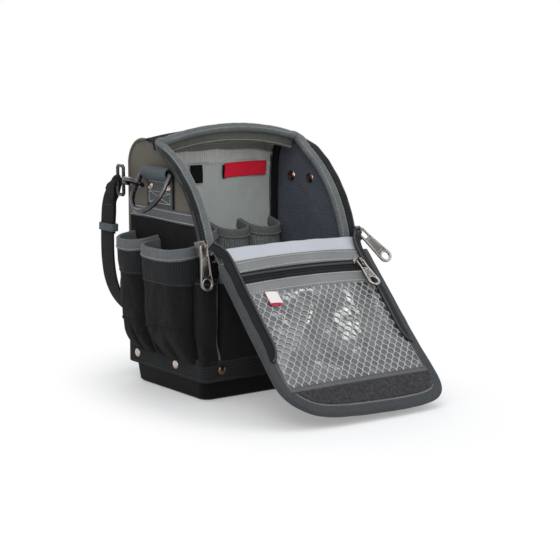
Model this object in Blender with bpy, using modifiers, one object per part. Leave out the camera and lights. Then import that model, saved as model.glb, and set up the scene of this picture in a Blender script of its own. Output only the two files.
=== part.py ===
# Open-mouth tool bag with a moulded base tray and a fold-down front flap.
# Metres, +Z up, front towards -Y. The origin is the middle of the tray's underside.
import math

import bmesh
import bpy
from mathutils import Matrix, Vector

# Clearances
GAP = 0.0003              # between pieces that touch
SEAT = 0.0003             # between the flap and what is sewn on it
OVERRUN = 0.002           # how far a cutter passes through

# Body
BODY_HALF_WIDTH = 0.090   # to the outer face of a side panel
BODY_BACK = 0.066         # the back panel's outer face is this far behind it
SIDE_WALL = 0.003
FRONT_WALL = 0.005
FRONT_LEAN = 0.004        # the front panel leans out this far at its top
SIDE_CORNER_Z = 0.1455    # front top corner of a side panel
BACK_WALL = 0.004
FRONT_PANEL_TOP = 0.1465

# Base
TRAY_HEIGHT = 0.024
TRAY_WALL = 0.0035
TRAY_FLOOR = 0.0035
TRAY_LEAN = 0.0025        # how far the sides draw in from rim to foot
TRAY_RIM_STEP = 0.001     # how far the rim stays inside the body
TRAY_FRONT_STEP = 0.004   # the tray's front is set back further
TRAY_FOOT = 0.002
TRAY_CORNER = 0.009
BOARD_THICKNESS = 0.003
BAND_LOW = 0.0205
BAND_HEIGHT = 0.0225
BAND_THICKNESS = 0.0035
BAND_CORNER = 0.006
BAND_INNER_CORNER = 0.0005
RIVET_HEAD_RADIUS = 0.0047
RIVET_HEAD_HEIGHT = 0.0022
RIVET_SHANK_RADIUS = 0.0020
RIVET_SINK = 0.001

# Arch of the opening, a circle seen from the side
ARCH_Y = 0.060
ARCH_Z = 0.120
SIDE_EDGE_DROP = 0.004    # a side panel's edge below the rim
ARCH_RADIUS = 0.140       # outer face of the rim binding
BODY_FRONT = ARCH_RADIUS - 0.069   # the front panel's outer face is this far in front of the origin
RIM_THICKNESS = 0.0037
RIM_WIDTH = 0.006
TOP_RIM_DROP = 0.0022     # the binding across the top lies lower than the sides
TRACK_START = math.radians(168.5)
TRACK_END = math.radians(109.8)
TOP_RIM_SPAN = math.radians(2.4)
TOP_WALL = 0.003
TOP_DROP = 0.003          # top panel below the arch circle
TOP_CORNER = 0.0275       # rounding where the top turns down into the back
HOOK_STRIP_THICKNESS = 0.0010
HOOK_STRIP_HALF_WIDTH = 0.075

# Side dressing
SPLIT_HEIGHT = 0.175      # black below, taupe above
SIDE_BAND_LOW = 0.172
SIDE_BAND_HIGH = 0.1875
SIDE_BAND_THICKNESS = 0.0012
SIDE_BAND_END_STEP = 0.004

# Body zip
TAPE_WIDTH = 0.0073
TAPE_THICKNESS = 0.0010
TAPE_DROP = 0.0006        # tape face below the arch circle
COIL_WIDTH = 0.0022
COIL_THICKNESS = 0.0024

# Zip sliders and pulls
SLIDER_LENGTH = 0.0150
SLIDER_PLATE = 0.0013
SLIDER_CLEARANCE = 0.0005
SLIDER_TRAVEL_START = math.radians(165.4)
BRIDGE_WIDTH = 0.0018
BRIDGE_HALF_LENGTH = 0.0034
BRIDGE_STOCK = 0.0012
BRIDGE_RISE = 0.0047
BRIDGE_SHIFT = 0.0024     # the bridge sits towards the slider's lower end
PULL_LENGTH = 0.0445
PULL_TOP_WIDTH = 0.0094
PULL_END_WIDTH = 0.0142
PULL_THICKNESS = 0.0018
PULL_PIVOT_HEIGHT = 0.0019
PULL_BAR = 0.0021
PULL_SLOT_LENGTH = 0.0095
PULL_SLOT_WIDTH = 0.0064
PULL_HOLE_RADIUS = 0.0045
PULL_LEAN = math.radians(9.0)
RIGHT_PULL_TURN = math.radians(-46.0)
RIGHT_PULL_DROP = math.radians(44.0)
SLIDER_TOP_INNER = BODY_HALF_WIDTH + 0.0043
SLIDER_OUTER = BODY_HALF_WIDTH + 0.0105
SLIDER_TOP_RISE = 0.0037   # inside of the slider's top plate above the rim

# Flap
FLAP_HINGE_Y = ARCH_Y - ARCH_RADIUS - 0.006
FLAP_HINGE_Z = 0.1555
FLAP_SLOPE = math.radians(46.5)
FLAP_JOINTS = (0.0, 0.049, 0.0885, 0.128, 0.1675, 0.2045)
FLAP_HALF_WIDTH = 0.094
FLAP_CORE_HALF_WIDTH = 0.084
FLAP_CORE = 0.004
FLAP_EDGE = 0.0015
FLAP_NOTCH = 0.026
FLAP_NOTCH_SLANT = 0.004
FLAP_CORNER = 0.034
FLAP_CORE_CORNER = 0.025
FLAP_CORE_END = 0.009
ROLL_HALF_WIDTH = 0.0836
ROLL_DEPTH = 0.0117
ROLL_HEIGHT = 0.0165

# On the flap
PANEL_POCKET_HALF_WIDTH = 0.080
STRIP_START = 0.0155
STRIP_WIDTH = 0.0135
STRIP_THICKNESS = 0.0008
POCKET_ZIP_WIDTH = 0.013
POCKET_COIL_WIDTH = 0.0030
POCKET_COIL_THICKNESS = 0.0021
POCKET_ZIP_LOW = -0.068
POCKET_ZIP_HIGH = 0.078
MESH_END = 0.161
MESH_THICKNESS = 0.0018
MESH_BREAK = 0.0006
LOOP_START = 0.169
LOOP_END = 0.190
LOOP_THICKNESS = 0.0013
LOOP_CORNER = 0.012
POCKET_SLIDER_LENGTH = 0.0120
POCKET_SLIDER_HALF_WIDTH = 0.0046
POCKET_SLIDER_REST = 0.070

# Sewn pockets
POCKET_WALL = 0.0022
POCKET_FLOOR = 0.003
SIDE_POCKET_DEPTH = 0.029
SIDE_POCKET_FOOT_DEPTH = 0.0135
SIDE_POCKET_SEAM = 0.010
SIDE_POCKET_BACK_LIP = 0.159
SIDE_POCKET_FRONT_LIP = 0.156
SIDE_POCKET_FRONT_END = 0.0085
POCKET_SQUARENESS_SHARE = 0.42
CORNER_POCKET_DEPTH = 0.0095
CORNER_POCKET_SIDE_REACH = 0.008
CORNER_POCKET_FRONT_REACH = 0.010
CORNER_POCKET_LIP = 0.125
FRONT_POCKET_HALF_WIDTH = 0.075
FRONT_POCKET_DEPTH = 0.011
FRONT_POCKET_LIP = 0.128
REAR_POCKET_HALF_WIDTH = 0.084
REAR_POCKET_DEPTH = 0.014
REAR_POCKET_LIP = 0.197
POCKET_FOOT_WIDTH_SHARE = 0.94

# Inside
LINER_THICKNESS = 0.0034
LINER_TOP = 0.233
ROW_FRONT = 0.026
ROW_LIP = 0.157
ROW_FOOT = 0.030
ROW_WALL = 0.002
ROW_HALF_WIDTH = 0.084
ROW_CELLS = 4
ROW_CELL_CORNER = 0.009

# D-rings on webbing tabs
TAB_WIDTH = 0.046
TAB_REACH_SHARE = 0.055 / 0.140
TAB_Y = ARCH_Y - TAB_REACH_SHARE * ARCH_RADIUS
TAB_FOOT = 0.1906
TAB_THICKNESS = 0.0023
RING_BAR_Z = 0.224
RING_WIRE_RADIUS = 0.0027
RING_INSIDE = 0.0475
RING_STRAIGHT = 0.017
RING_SWING_OUT = math.radians(30.0)
TAB_LOOP_CLEARANCE = 0.0004
TAB_RIVET_SPREAD = 0.033
TAB_RIVET_Z = 0.2095

# Snap hooks
HOOK_WIRE_RADIUS = 0.0022
HOOK_HALF_WIDTH = 0.0074
BARREL_RADIUS = 0.0042
BARREL_LENGTH = 0.008
GATE_RADIUS = 0.0015
EYE_WIRE_RADIUS = 0.0019
EYE_HALF_HEIGHT = 0.0150
EYE_LENGTH = 0.0115

# Shoulder strap
STRAP_WIDTH = 0.025
STRAP_THICKNESS = 0.0024
GLIDE_BAR = 0.0024
GLIDE_LENGTH = 0.024
GLIDE_THICKNESS = 0.0056
GLIDE_SIDE = 0.014
STRAP_BACK = 0.0285       # strap's middle behind the eyes
STRAP_DROP = 0.163        # lowest point below the eyes
STRAP_SLANT = math.radians(-48.7)
STRAP_PATH_SHARES = ((0.0, 0.79, 0.165), (0.01, 0.96, 0.22), (0.03, 1.0, 0.34), (0.06, 1.0, 0.52),
                     (0.12, 1.0, 0.69), (0.25, 1.0, 0.845), (0.44, 1.0, 0.945), (0.66, 1.0, 1.0),
                     (1.0, 1.0, 1.0))
CHEEK_THICKNESS = 0.0016
CHEEK_PAST = 0.0040       # strap end's layers reach this far past the eye's bar
CHEEK_CLEARANCE = 0.0012
CHEEK_BLOCK = 0.0045
CHEEK_OVERLAP = 0.0015
CHEEK_HALF_WIDTH = 0.0095

for item in list(bpy.data.objects):
    bpy.data.objects.remove(item)

bag = bpy.data.collections.new("tool_bag")
cutters = bpy.data.collections.new("cutters")
bpy.context.scene.collection.children.link(bag)
bpy.context.scene.collection.children.link(cutters)


def make_material(name, colour, roughness, metallic=0.0):
    material = bpy.data.materials.new(name)
    material.use_nodes = True
    shader = material.node_tree.nodes["Principled BSDF"]
    shader.inputs["Base Color"].default_value = (*colour, 1.0)
    shader.inputs["Roughness"].default_value = roughness
    shader.inputs["Metallic"].default_value = metallic
    return material


BLACK_NYLON = make_material("black_nylon", (0.014, 0.014, 0.016), 0.85)
TAUPE_NYLON = make_material("taupe_nylon", (0.115, 0.098, 0.080), 0.85)
GREY_TRIM = make_material("grey_trim", (0.19, 0.205, 0.205), 0.8)
DARK_TRIM = make_material("dark_trim", (0.045, 0.050, 0.054), 0.8)
GREY_LINER = make_material("grey_liner", (0.30, 0.33, 0.31), 0.8)
PALE_FABRIC = make_material("pale_fabric", (0.55, 0.57, 0.60), 0.7)
MOULDED_BASE = make_material("moulded_base", (0.010, 0.010, 0.011), 0.5)
ZIP_TAPE = make_material("zip_tape", (0.016, 0.016, 0.018), 0.7)
CLEAR_MESH = make_material("clear_mesh", (0.50, 0.52, 0.53), 0.3)
LOOP_PILE = make_material("loop_pile", (0.038, 0.034, 0.040), 0.95)
GUNMETAL = make_material("gunmetal", (0.16, 0.15, 0.14), 0.3, 1.0)
RIVET_METAL = make_material("rivet_metal", (0.70, 0.55, 0.46), 0.25, 1.0)
STRAP_WEB = make_material("strap_web", (0.016, 0.016, 0.018), 0.8)
BOARD_PLASTIC = make_material("board_plastic", (0.03, 0.03, 0.03), 0.6)

# World directions of a profile's own x, y and z
SIDE_VIEW = Matrix(((0, 0, 1, 0), (1, 0, 0, 0), (0, 1, 0, 0), (0, 0, 0, 1)))
FRONT_VIEW = Matrix(((1, 0, 0, 0), (0, 0, -1, 0), (0, 1, 0, 0), (0, 0, 0, 1)))
PLAN_VIEW = Matrix.Identity(4)


def put_in_bag(name, data, material, matrix=None):
    made = bpy.data.objects.new(name, data)
    bag.objects.link(made)
    data.materials.append(material)
    if matrix is not None:
        made.matrix_world = matrix
    return made


def as_mesh(made):
    """Turns a curve object into a welded mesh object with the same name and place."""
    bpy.context.view_layer.update()
    evaluated = made.evaluated_get(bpy.context.evaluated_depsgraph_get())
    mesh = bpy.data.meshes.new_from_object(evaluated)
    shape = bmesh.new()
    shape.from_mesh(mesh)
    bmesh.ops.remove_doubles(shape, verts=shape.verts, dist=1e-6)
    shape.to_mesh(mesh)
    shape.free()
    name = made.name
    matrix = made.matrix_world.copy()
    bpy.data.objects.remove(made)
    solid = bpy.data.objects.new(name, mesh)
    bag.objects.link(solid)
    solid.matrix_world = matrix
    return solid


def outline_solid(name, loops, low, high, view, material):
    """Fills flat outlines, the later ones as holes, and makes them thick from low to high."""
    curve = bpy.data.curves.new(name, "CURVE")
    curve.dimensions = "2D"
    curve.fill_mode = "BOTH"
    curve.extrude = (high - low) / 2
    for loop in loops:
        spline = curve.splines.new("POLY")
        spline.points.add(len(loop) - 1)
        for point, (across, along) in zip(spline.points, loop):
            point.co = (across, along, 0, 1)
        spline.use_cyclic_u = True
    return put_in_bag(name, curve, material, view @ Matrix.Translation((0, 0, (low + high) / 2)))


def box_solid(name, low, high, material, matrix=None):
    mesh = bpy.data.meshes.new(name)
    shape = bmesh.new()
    size = Vector(high) - Vector(low)
    middle = (Vector(high) + Vector(low)) / 2
    place = Matrix.Translation(middle) @ Matrix.Diagonal((*size, 1.0))
    bmesh.ops.create_cube(shape, size=1.0, matrix=place)
    shape.to_mesh(mesh)
    shape.free()
    return put_in_bag(name, mesh, material, matrix)


def tube(name, points, radius, material, matrix=None, closed=False, resolution=2):
    curve = bpy.data.curves.new(name, "CURVE")
    curve.dimensions = "3D"
    curve.bevel_depth = radius
    curve.bevel_resolution = resolution
    curve.use_fill_caps = True
    spline = curve.splines.new("POLY")
    spline.points.add(len(points) - 1)
    for point, place in zip(spline.points, points):
        point.co = (*place, 1)
    spline.use_cyclic_u = closed
    return put_in_bag(name, curve, material, matrix)


def loft(name, rings, material, closed=False, matrix=None):
    """Skins rings of equally many points; the ends are capped unless the loft runs round."""
    mesh = bpy.data.meshes.new(name)
    shape = bmesh.new()
    made = [[shape.verts.new(point) for point in ring] for ring in rings]
    pairs = list(zip(made, made[1:]))
    if closed:
        pairs.append((made[-1], made[0]))
    for lower, upper in pairs:
        for index in range(len(lower)):
            after = (index + 1) % len(lower)
            shape.faces.new((lower[index], lower[after], upper[after], upper[index]))
    if not closed:
        shape.faces.new(list(reversed(made[0])))
        shape.faces.new(made[-1])
    bmesh.ops.recalc_face_normals(shape, faces=shape.faces)
    shape.to_mesh(mesh)
    shape.free()
    return put_in_bag(name, mesh, material, matrix)


def combine(main, others, operation):
    """Adds others to main, or cuts them out of it, with Boolean modifiers."""
    main = as_mesh(main) if main.type == "CURVE" else main
    for other in others:
        other = as_mesh(other) if other.type == "CURVE" else other
        bag.objects.unlink(other)
        cutters.objects.link(other)
        other.hide_render = True
        other.display_type = "WIRE"
        step = main.modifiers.new(operation.lower(), "BOOLEAN")
        step.operation = operation
        step.solver = "EXACT"
        step.object = other
    return main


def arc(centre_a, centre_b, radius, start, end, steps):
    """Points of a circle's arc from angle start to angle end."""
    angles = [start + (end - start) * step / steps for step in range(steps + 1)]
    return [(centre_a + radius * math.cos(turn), centre_b + radius * math.sin(turn)) for turn in angles]


def arch(radius, start, end, steps=20):
    return arc(ARCH_Y, ARCH_Z, radius, start, end, steps)


def arch_strip(inner, outer, start, end, steps=20):
    return arch(outer, start, end, steps) + arch(inner, end, start, steps)


def rounded_plan(half_width, front, back, corner, steps=4):
    """A rectangle with round corners in plan, front towards -Y."""
    quarter = math.pi / 2
    points = arc(half_width - corner, back - corner, corner, 0, quarter, steps)
    points += arc(-half_width + corner, back - corner, corner, quarter, 2 * quarter, steps)
    points += arc(-half_width + corner, -front + corner, corner, 2 * quarter, 3 * quarter, steps)
    points += arc(half_width - corner, -front + corner, corner, 3 * quarter, 4 * quarter, steps)
    return points


def inset(points, distance):
    """Moves each side of a closed counter-clockwise outline inwards."""
    moved = []
    for index, here in enumerate(points):
        before = Vector(points[index - 1])
        after = Vector(points[(index + 1) % len(points)])
        first = (Vector(here) - before).normalized()
        second = (after - Vector(here)).normalized()
        normal_first = Vector((-first.y, first.x))
        normal_second = Vector((-second.y, second.x))
        mitre = (normal_first + normal_second).normalized()
        reach = distance / max(mitre.dot(normal_first), 0.5)
        moved.append(tuple(Vector(here) + mitre * reach))
    return moved


def at_height(points, height):
    return [(x, y, height) for x, y in points]


def tub(name, sections, wall, floor, material):
    """An open-topped bag from outer outlines and heights, lowest first."""
    outer = [at_height(points, height) for points, height in sections]
    lowest_points, lowest = sections[0]
    highest_points, highest = sections[-1]
    inner = [at_height(inset(points, wall), height) for points, height in reversed(sections[1:])]
    share = floor / (sections[1][1] - lowest)
    floor_points = [
        tuple(Vector(low).lerp(Vector(high), share))
        for low, high in zip(lowest_points, sections[1][0])
    ]
    inner.append(at_height(inset(floor_points, wall), lowest + floor))
    return loft(name, outer + inner, material)


def turned(name, profile, matrix, material, steps=12):
    """Turns a profile of (radius, height) points, outer side top to bottom, about local Z."""
    mesh = bpy.data.meshes.new(name)
    shape = bmesh.new()
    verts = [shape.verts.new((radius, 0, height)) for radius, height in profile]
    for first, second in zip(verts, verts[1:]):
        shape.edges.new((first, second))
    shape.to_mesh(mesh)
    shape.free()
    made = put_in_bag(name, mesh, material, matrix)
    screw = made.modifiers.new("turn", "SCREW")
    screw.steps = steps
    screw.render_steps = steps
    screw.use_merge_vertices = True
    screw.merge_threshold = 1e-6
    screw.use_smooth_shade = True
    return made


def frame_matrix(origin, x_axis, y_axis, z_axis):
    matrix = Matrix((x_axis, y_axis, z_axis)).transposed().to_4x4()
    matrix.translation = origin
    return matrix


def origin_at(made, place):
    """Moves an object's origin onto its joint without moving its shape."""
    made = as_mesh(made) if made.type == "CURVE" else made
    shift = Matrix.Translation(place)
    made.data.transform(shift.inverted() @ made.matrix_world)
    made.matrix_world = shift
    return made


def front_at(height):
    """How far the front panel's outer face is in front of the origin at a height."""
    share = (height - TRAY_HEIGHT) / (FRONT_PANEL_TOP - TRAY_HEIGHT)
    return BODY_FRONT + FRONT_LEAN * share


def mirrored(points, side):
    """Plan points with x turned to the given side, kept counter-clockwise."""
    return points if side > 0 else [(-x, y) for x, y in reversed(points)]


SIDES = (("left", -1), ("right", 1))
PANEL_FOOT = TRAY_HEIGHT + GAP
CROSS_HALF_WIDTH = BODY_HALF_WIDTH - SIDE_WALL - GAP
SIDE_EDGE = ARCH_RADIUS - SIDE_EDGE_DROP
TOP_FACE = ARCH_RADIUS - TOP_DROP
TOP_CORNER_Y = BODY_BACK - TOP_CORNER
TOP_CORNER_REACH = TOP_FACE - TOP_CORNER
TOP_CORNER_Z = ARCH_Z + math.sqrt(TOP_CORNER_REACH**2 - (ARCH_Y - TOP_CORNER_Y) ** 2)
TOP_TURN = math.atan2(TOP_CORNER_Z - ARCH_Z, TOP_CORNER_Y - ARCH_Y)
END_GAP = GAP / ARCH_RADIUS


def top_outline(depth, start, steps=4):
    """The top's line from the opening back and down the rear corner, lowered by depth."""
    points = arch(TOP_FACE - depth, start, TOP_TURN, 3)
    points += arc(TOP_CORNER_Y, TOP_CORNER_Z, TOP_CORNER - depth, TOP_TURN, 0, steps + 1)[1:]
    return points


def arch_angle(radius, height):
    return math.pi - math.asin((height - ARCH_Z) / radius)


# Base tray, board and band
TRAY_HALF = BODY_HALF_WIDTH - TRAY_RIM_STEP
TRAY_FRONT = BODY_FRONT - TRAY_FRONT_STEP
TRAY_BACK = BODY_BACK - TRAY_RIM_STEP


def tray_plan(draw_in):
    return rounded_plan(TRAY_HALF - draw_in, TRAY_FRONT - draw_in, TRAY_BACK - draw_in, TRAY_CORNER)


tray_sections = [
    (tray_plan(TRAY_LEAN + TRAY_FOOT), 0.0),
    (tray_plan(TRAY_LEAN), TRAY_FOOT),
    (tray_plan(0.0), TRAY_HEIGHT),
]
tray_outer = [at_height(points, height) for points, height in tray_sections]
tray_inner = [
    at_height(inset(tray_plan(0.0), TRAY_WALL), TRAY_HEIGHT),
    at_height(inset(tray_plan(TRAY_LEAN), TRAY_WALL), TRAY_FLOOR),
]
loft("base_tray", tray_outer + tray_inner, MOULDED_BASE)
board_low = TRAY_FLOOR + GAP
board_outline = inset(tray_plan(TRAY_LEAN), TRAY_WALL + GAP)
outline_solid("floor_board", [board_outline], board_low, board_low + BOARD_THICKNESS, PLAN_VIEW,
              BOARD_PLASTIC)

band_high = BAND_LOW + BAND_HEIGHT
band_front = front_at(band_high) + GAP
band_outer = rounded_plan(
    BODY_HALF_WIDTH + GAP + BAND_THICKNESS, band_front + BAND_THICKNESS,
    BODY_BACK + GAP + BAND_THICKNESS, BAND_CORNER,
)
band_inner = rounded_plan(BODY_HALF_WIDTH + GAP, band_front, BODY_BACK + GAP, BAND_INNER_CORNER, 1)
band = outline_solid("base_band", [band_outer, band_inner], BAND_LOW, band_high, PLAN_VIEW,
                     BLACK_NYLON)
BAND_RIVET_Z = BAND_LOW + BAND_HEIGHT / 2
BAND_RIVET_PLACES = (0.049, -0.024)
BAND_FRONT_RIVET_PLACE = 0.0725
band_heads = []


def rivet_profile(sink):
    """Outer side of a domed head, from the crown outwards and down to the sunk foot."""
    crown_share = 0.72
    return [
        (0.0, RIVET_HEAD_HEIGHT),
        (RIVET_HEAD_RADIUS * crown_share, RIVET_HEAD_HEIGHT * crown_share),
        (RIVET_HEAD_RADIUS, 0.0),
        (RIVET_HEAD_RADIUS, -sink),
        (0.0, -sink),
    ]


def head_matrix(place, outward):
    z_axis = Vector(outward)
    x_axis = Vector((0, 0, 1))
    return frame_matrix(place, x_axis, z_axis.cross(x_axis), z_axis)


for side_name, side in SIDES:
    for number, place in enumerate(BAND_RIVET_PLACES):
        at = (side * (BODY_HALF_WIDTH + GAP + BAND_THICKNESS), place, BAND_RIVET_Z)
        band_heads.append(turned(f"band_head_{side_name}_{number}", rivet_profile(RIVET_SINK),
                                 head_matrix(at, (side, 0, 0)), RIVET_METAL, 10))
    at = (side * BAND_FRONT_RIVET_PLACE, -(band_front + BAND_THICKNESS), BAND_RIVET_Z)
    band_heads.append(turned(f"band_head_{side_name}_front", rivet_profile(RIVET_SINK),
                             head_matrix(at, (0, -1, 0)), RIVET_METAL, 10))
combine(band, band_heads, "UNION")

# Front, back and top panels
front_top_y = -front_at(FRONT_PANEL_TOP)
front_profile = [
    (-front_at(PANEL_FOOT), PANEL_FOOT),
    (-front_at(PANEL_FOOT) + FRONT_WALL, PANEL_FOOT),
    (front_top_y + FRONT_WALL, FRONT_PANEL_TOP),
    (front_top_y, FRONT_PANEL_TOP),
]
outline_solid("front_panel", [front_profile], -CROSS_HALF_WIDTH, CROSS_HALF_WIDTH, SIDE_VIEW,
              TAUPE_NYLON)
box_solid("back_panel", (-CROSS_HALF_WIDTH, BODY_BACK - BACK_WALL, PANEL_FOOT),
          (CROSS_HALF_WIDTH, BODY_BACK, TOP_CORNER_Z - GAP), BLACK_NYLON)
top_profile = top_outline(0.0, TRACK_END - END_GAP)
top_profile += list(reversed(top_outline(TOP_WALL, TRACK_END - END_GAP)))
outline_solid("top_panel", [top_profile], -CROSS_HALF_WIDTH, CROSS_HALF_WIDTH, SIDE_VIEW, GREY_TRIM)
hook_strip_inner = TOP_FACE + GAP
strip_profile = arch_strip(hook_strip_inner, hook_strip_inner + HOOK_STRIP_THICKNESS,
                           TRACK_END - 3 * END_GAP, TOP_TURN, 3)
outline_solid("hook_strip", [strip_profile], -HOOK_STRIP_HALF_WIDTH, HOOK_STRIP_HALF_WIDTH,
              SIDE_VIEW, LOOP_PILE)

# Side panels
split_angle = arch_angle(SIDE_EDGE, SPLIT_HEIGHT)
upper_foot = SPLIT_HEIGHT + GAP
side_lower_profile = [(-front_at(PANEL_FOOT), PANEL_FOOT), (BODY_BACK, PANEL_FOOT),
                      (BODY_BACK, SPLIT_HEIGHT)]
side_lower_profile += arch(SIDE_EDGE, split_angle, TRACK_START, 4)
side_lower_profile.append((-front_at(SIDE_CORNER_Z), SIDE_CORNER_Z))
side_upper_profile = [(BODY_BACK, upper_foot)]
side_upper_profile += list(reversed(top_outline(0.0, TRACK_END - END_GAP)))
side_upper_profile += arch(SIDE_EDGE, TRACK_END, arch_angle(SIDE_EDGE, upper_foot), 14)
band_clear = SIDE_EDGE - SIDE_BAND_END_STEP


def side_face(side, near, far):
    """Low and high x of something between two distances outside a side panel's face."""
    faces = (side * (BODY_HALF_WIDTH + near), side * (BODY_HALF_WIDTH + far))
    return min(faces), max(faces)


RIVET_HOLE_RADIUS = RIVET_SHANK_RADIUS + GAP
RIVET_PLACES = (("front", TAB_Y - TAB_RIVET_SPREAD / 2), ("rear", TAB_Y + TAB_RIVET_SPREAD / 2))


def rivet_hole(name, side, place, near, far):
    low, high = side_face(side, near - OVERRUN, far + OVERRUN)
    ring = arc(place, TAB_RIVET_Z, RIVET_HOLE_RADIUS, 0, 2 * math.pi, 12)[:-1]
    return outline_solid(name, [ring], low, high, SIDE_VIEW, BLACK_NYLON)


for side_name, side in SIDES:
    low, high = side_face(side, -SIDE_WALL, 0.0)
    outline_solid(f"side_lower_{side_name}", [side_lower_profile], low, high, SIDE_VIEW,
                  BLACK_NYLON)
    upper = outline_solid(f"side_upper_{side_name}", [side_upper_profile], low, high, SIDE_VIEW,
                          TAUPE_NYLON)
    band_low_x, band_high_x = side_face(side, -SIDE_WALL / 2, SIDE_BAND_THICKNESS)
    band_profile = [
        (BODY_BACK, upper_foot), (BODY_BACK, SIDE_BAND_HIGH),
        (arch(band_clear, arch_angle(band_clear, SIDE_BAND_HIGH), 0, 1)[0][0], SIDE_BAND_HIGH),
        (arch(band_clear, arch_angle(band_clear, upper_foot), 0, 1)[0][0], upper_foot),
    ]
    side_strip = outline_solid(f"side_strip_{side_name}", [band_profile], band_low_x, band_high_x,
                               SIDE_VIEW, GREY_TRIM)
    holes = [rivet_hole(f"panel_hole_{side_name}_{name}", side, place, -SIDE_WALL, 0.0)
             for name, place in RIVET_PLACES]
    upper = combine(upper, [side_strip], "UNION")
    combine(upper, holes, "DIFFERENCE")

# Rim binding and zip tapes
rim_inner = ARCH_RADIUS - RIM_THICKNESS
side_rim = arch_strip(rim_inner, ARCH_RADIUS, TRACK_START, TRACK_END, 22)
rim = outline_solid("rim_binding", [side_rim], BODY_HALF_WIDTH - RIM_WIDTH, BODY_HALF_WIDTH,
                    SIDE_VIEW, GREY_TRIM)
rim_left = outline_solid("rim_left", [side_rim], -BODY_HALF_WIDTH, -BODY_HALF_WIDTH + RIM_WIDTH,
                         SIDE_VIEW, GREY_TRIM)
top_rim = arch_strip(rim_inner - TOP_RIM_DROP, ARCH_RADIUS - TOP_RIM_DROP,
                     TRACK_END + TOP_RIM_SPAN, TRACK_END, 2)
rim_cross = outline_solid("rim_cross", [top_rim], -BODY_HALF_WIDTH + SIDE_WALL + OVERRUN,
                          BODY_HALF_WIDTH - SIDE_WALL - OVERRUN, SIDE_VIEW, GREY_TRIM)
combine(rim, [rim_left, rim_cross], "UNION")

tape_outer = ARCH_RADIUS - TAPE_DROP
coil_middle = tape_outer - TAPE_THICKNESS / 2
tape_strip = arch_strip(tape_outer - TAPE_THICKNESS, tape_outer, TRACK_START, TRACK_END, 22)
coil_strip = arch_strip(coil_middle - COIL_THICKNESS / 2, coil_middle + COIL_THICKNESS / 2,
                        TRACK_START, TRACK_END, 22)
for side_name, side in SIDES:
    low, high = side_face(side, GAP, GAP + TAPE_WIDTH)
    tape = outline_solid(f"zip_tape_{side_name}", [tape_strip], low, high, SIDE_VIEW, ZIP_TAPE)
    low, high = side_face(side, GAP + TAPE_WIDTH - COIL_WIDTH, GAP + TAPE_WIDTH)
    coil = outline_solid(f"coil_{side_name}", [coil_strip], low, high, SIDE_VIEW, ZIP_TAPE)
    combine(tape, [coil], "UNION")

# Fold between the front panel and the flap
ROLL_SHARES = ((0.0, 0.0), (0.55, 0.12), (1.0, 0.40), (1.0, 0.72), (0.84, 0.93), (0.60, 1.0),
               (0.30, 0.98), (0.0, 0.86))
roll_foot = FLAP_HINGE_Z - ROLL_HEIGHT
roll_back = -front_at(FRONT_PANEL_TOP) - GAP
roll_profile = [(roll_back - (ROLL_DEPTH - FRONT_LEAN) * out, roll_foot + ROLL_HEIGHT * up)
                for out, up in ROLL_SHARES]
outline_solid("hinge_fold", [list(reversed(roll_profile))], -ROLL_HALF_WIDTH, ROLL_HALF_WIDTH,
              SIDE_VIEW, PALE_FABRIC)

# Flap in its own frame: x across, y down its slope, z out of its outer face
FLAP_HINGE = Vector((0.0, FLAP_HINGE_Y, FLAP_HINGE_Z))
SLOPE_DOWN = Vector((0.0, -math.cos(FLAP_SLOPE), -math.sin(FLAP_SLOPE)))
SLOPE_OUT = Vector((0.0, math.sin(FLAP_SLOPE), -math.cos(FLAP_SLOPE)))
FLAP_FRAME = frame_matrix(FLAP_HINGE, Vector((1, 0, 0)), SLOPE_DOWN, SLOPE_OUT)


def flap_point(along):
    return FLAP_HINGE + SLOPE_DOWN * along


def plain_plan(half_width, start, end):
    return [(-half_width, start), (half_width, start), (half_width, end), (-half_width, end)]


def end_plan(half_width, start, end, corner):
    points = [(-half_width, start), (half_width, start)]
    points += arc(half_width - corner, end - corner, corner, 0, math.pi / 2, 5)
    points += arc(-half_width + corner, end - corner, corner, math.pi / 2, math.pi, 5)
    return points


def notched_plan(half_width, core, start, end):
    shoulder = FLAP_NOTCH + FLAP_NOTCH_SLANT
    return [(-core, start), (core, start), (core, FLAP_NOTCH), (half_width, shoulder),
            (half_width, end), (-half_width, end), (-half_width, shoulder), (-core, FLAP_NOTCH)]


flap_ends = list(zip(FLAP_JOINTS, FLAP_JOINTS[1:]))
for number, (start, end) in enumerate(flap_ends, 1):
    near = start + GAP
    far = end - GAP
    if number == 1:
        edge_plan = notched_plan(FLAP_HALF_WIDTH, FLAP_CORE_HALF_WIDTH, near, far)
        core_plan = plain_plan(FLAP_CORE_HALF_WIDTH - OVERRUN, near, far)
    elif number == len(flap_ends):
        edge_plan = end_plan(FLAP_HALF_WIDTH, near, end, FLAP_CORNER)
        core_plan = end_plan(FLAP_CORE_HALF_WIDTH - OVERRUN, near, end - FLAP_CORE_END,
                             FLAP_CORE_CORNER)
    else:
        edge_plan = plain_plan(FLAP_HALF_WIDTH, near, far)
        core_plan = plain_plan(FLAP_CORE_HALF_WIDTH - OVERRUN, near, far)
    plate = outline_solid(f"flap_panel_{number}", [edge_plan], 0.0, FLAP_EDGE, FLAP_FRAME,
                          TAUPE_NYLON)
    core = outline_solid(f"flap_core_{number}", [core_plan], FLAP_EDGE / 2, FLAP_CORE, FLAP_FRAME,
                         TAUPE_NYLON)
    plate = combine(plate, [core], "UNION")
    origin_at(plate, flap_point(start))


def on_flap(name, plan, thickness, segment, material, lift=SEAT):
    """A flat piece sewn on the flap's inner face, with its origin on the segment's joint."""
    piece = outline_solid(name, [plan], -lift - thickness, -lift, FLAP_FRAME, material)
    return origin_at(piece, flap_point(FLAP_JOINTS[segment - 1]))


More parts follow.
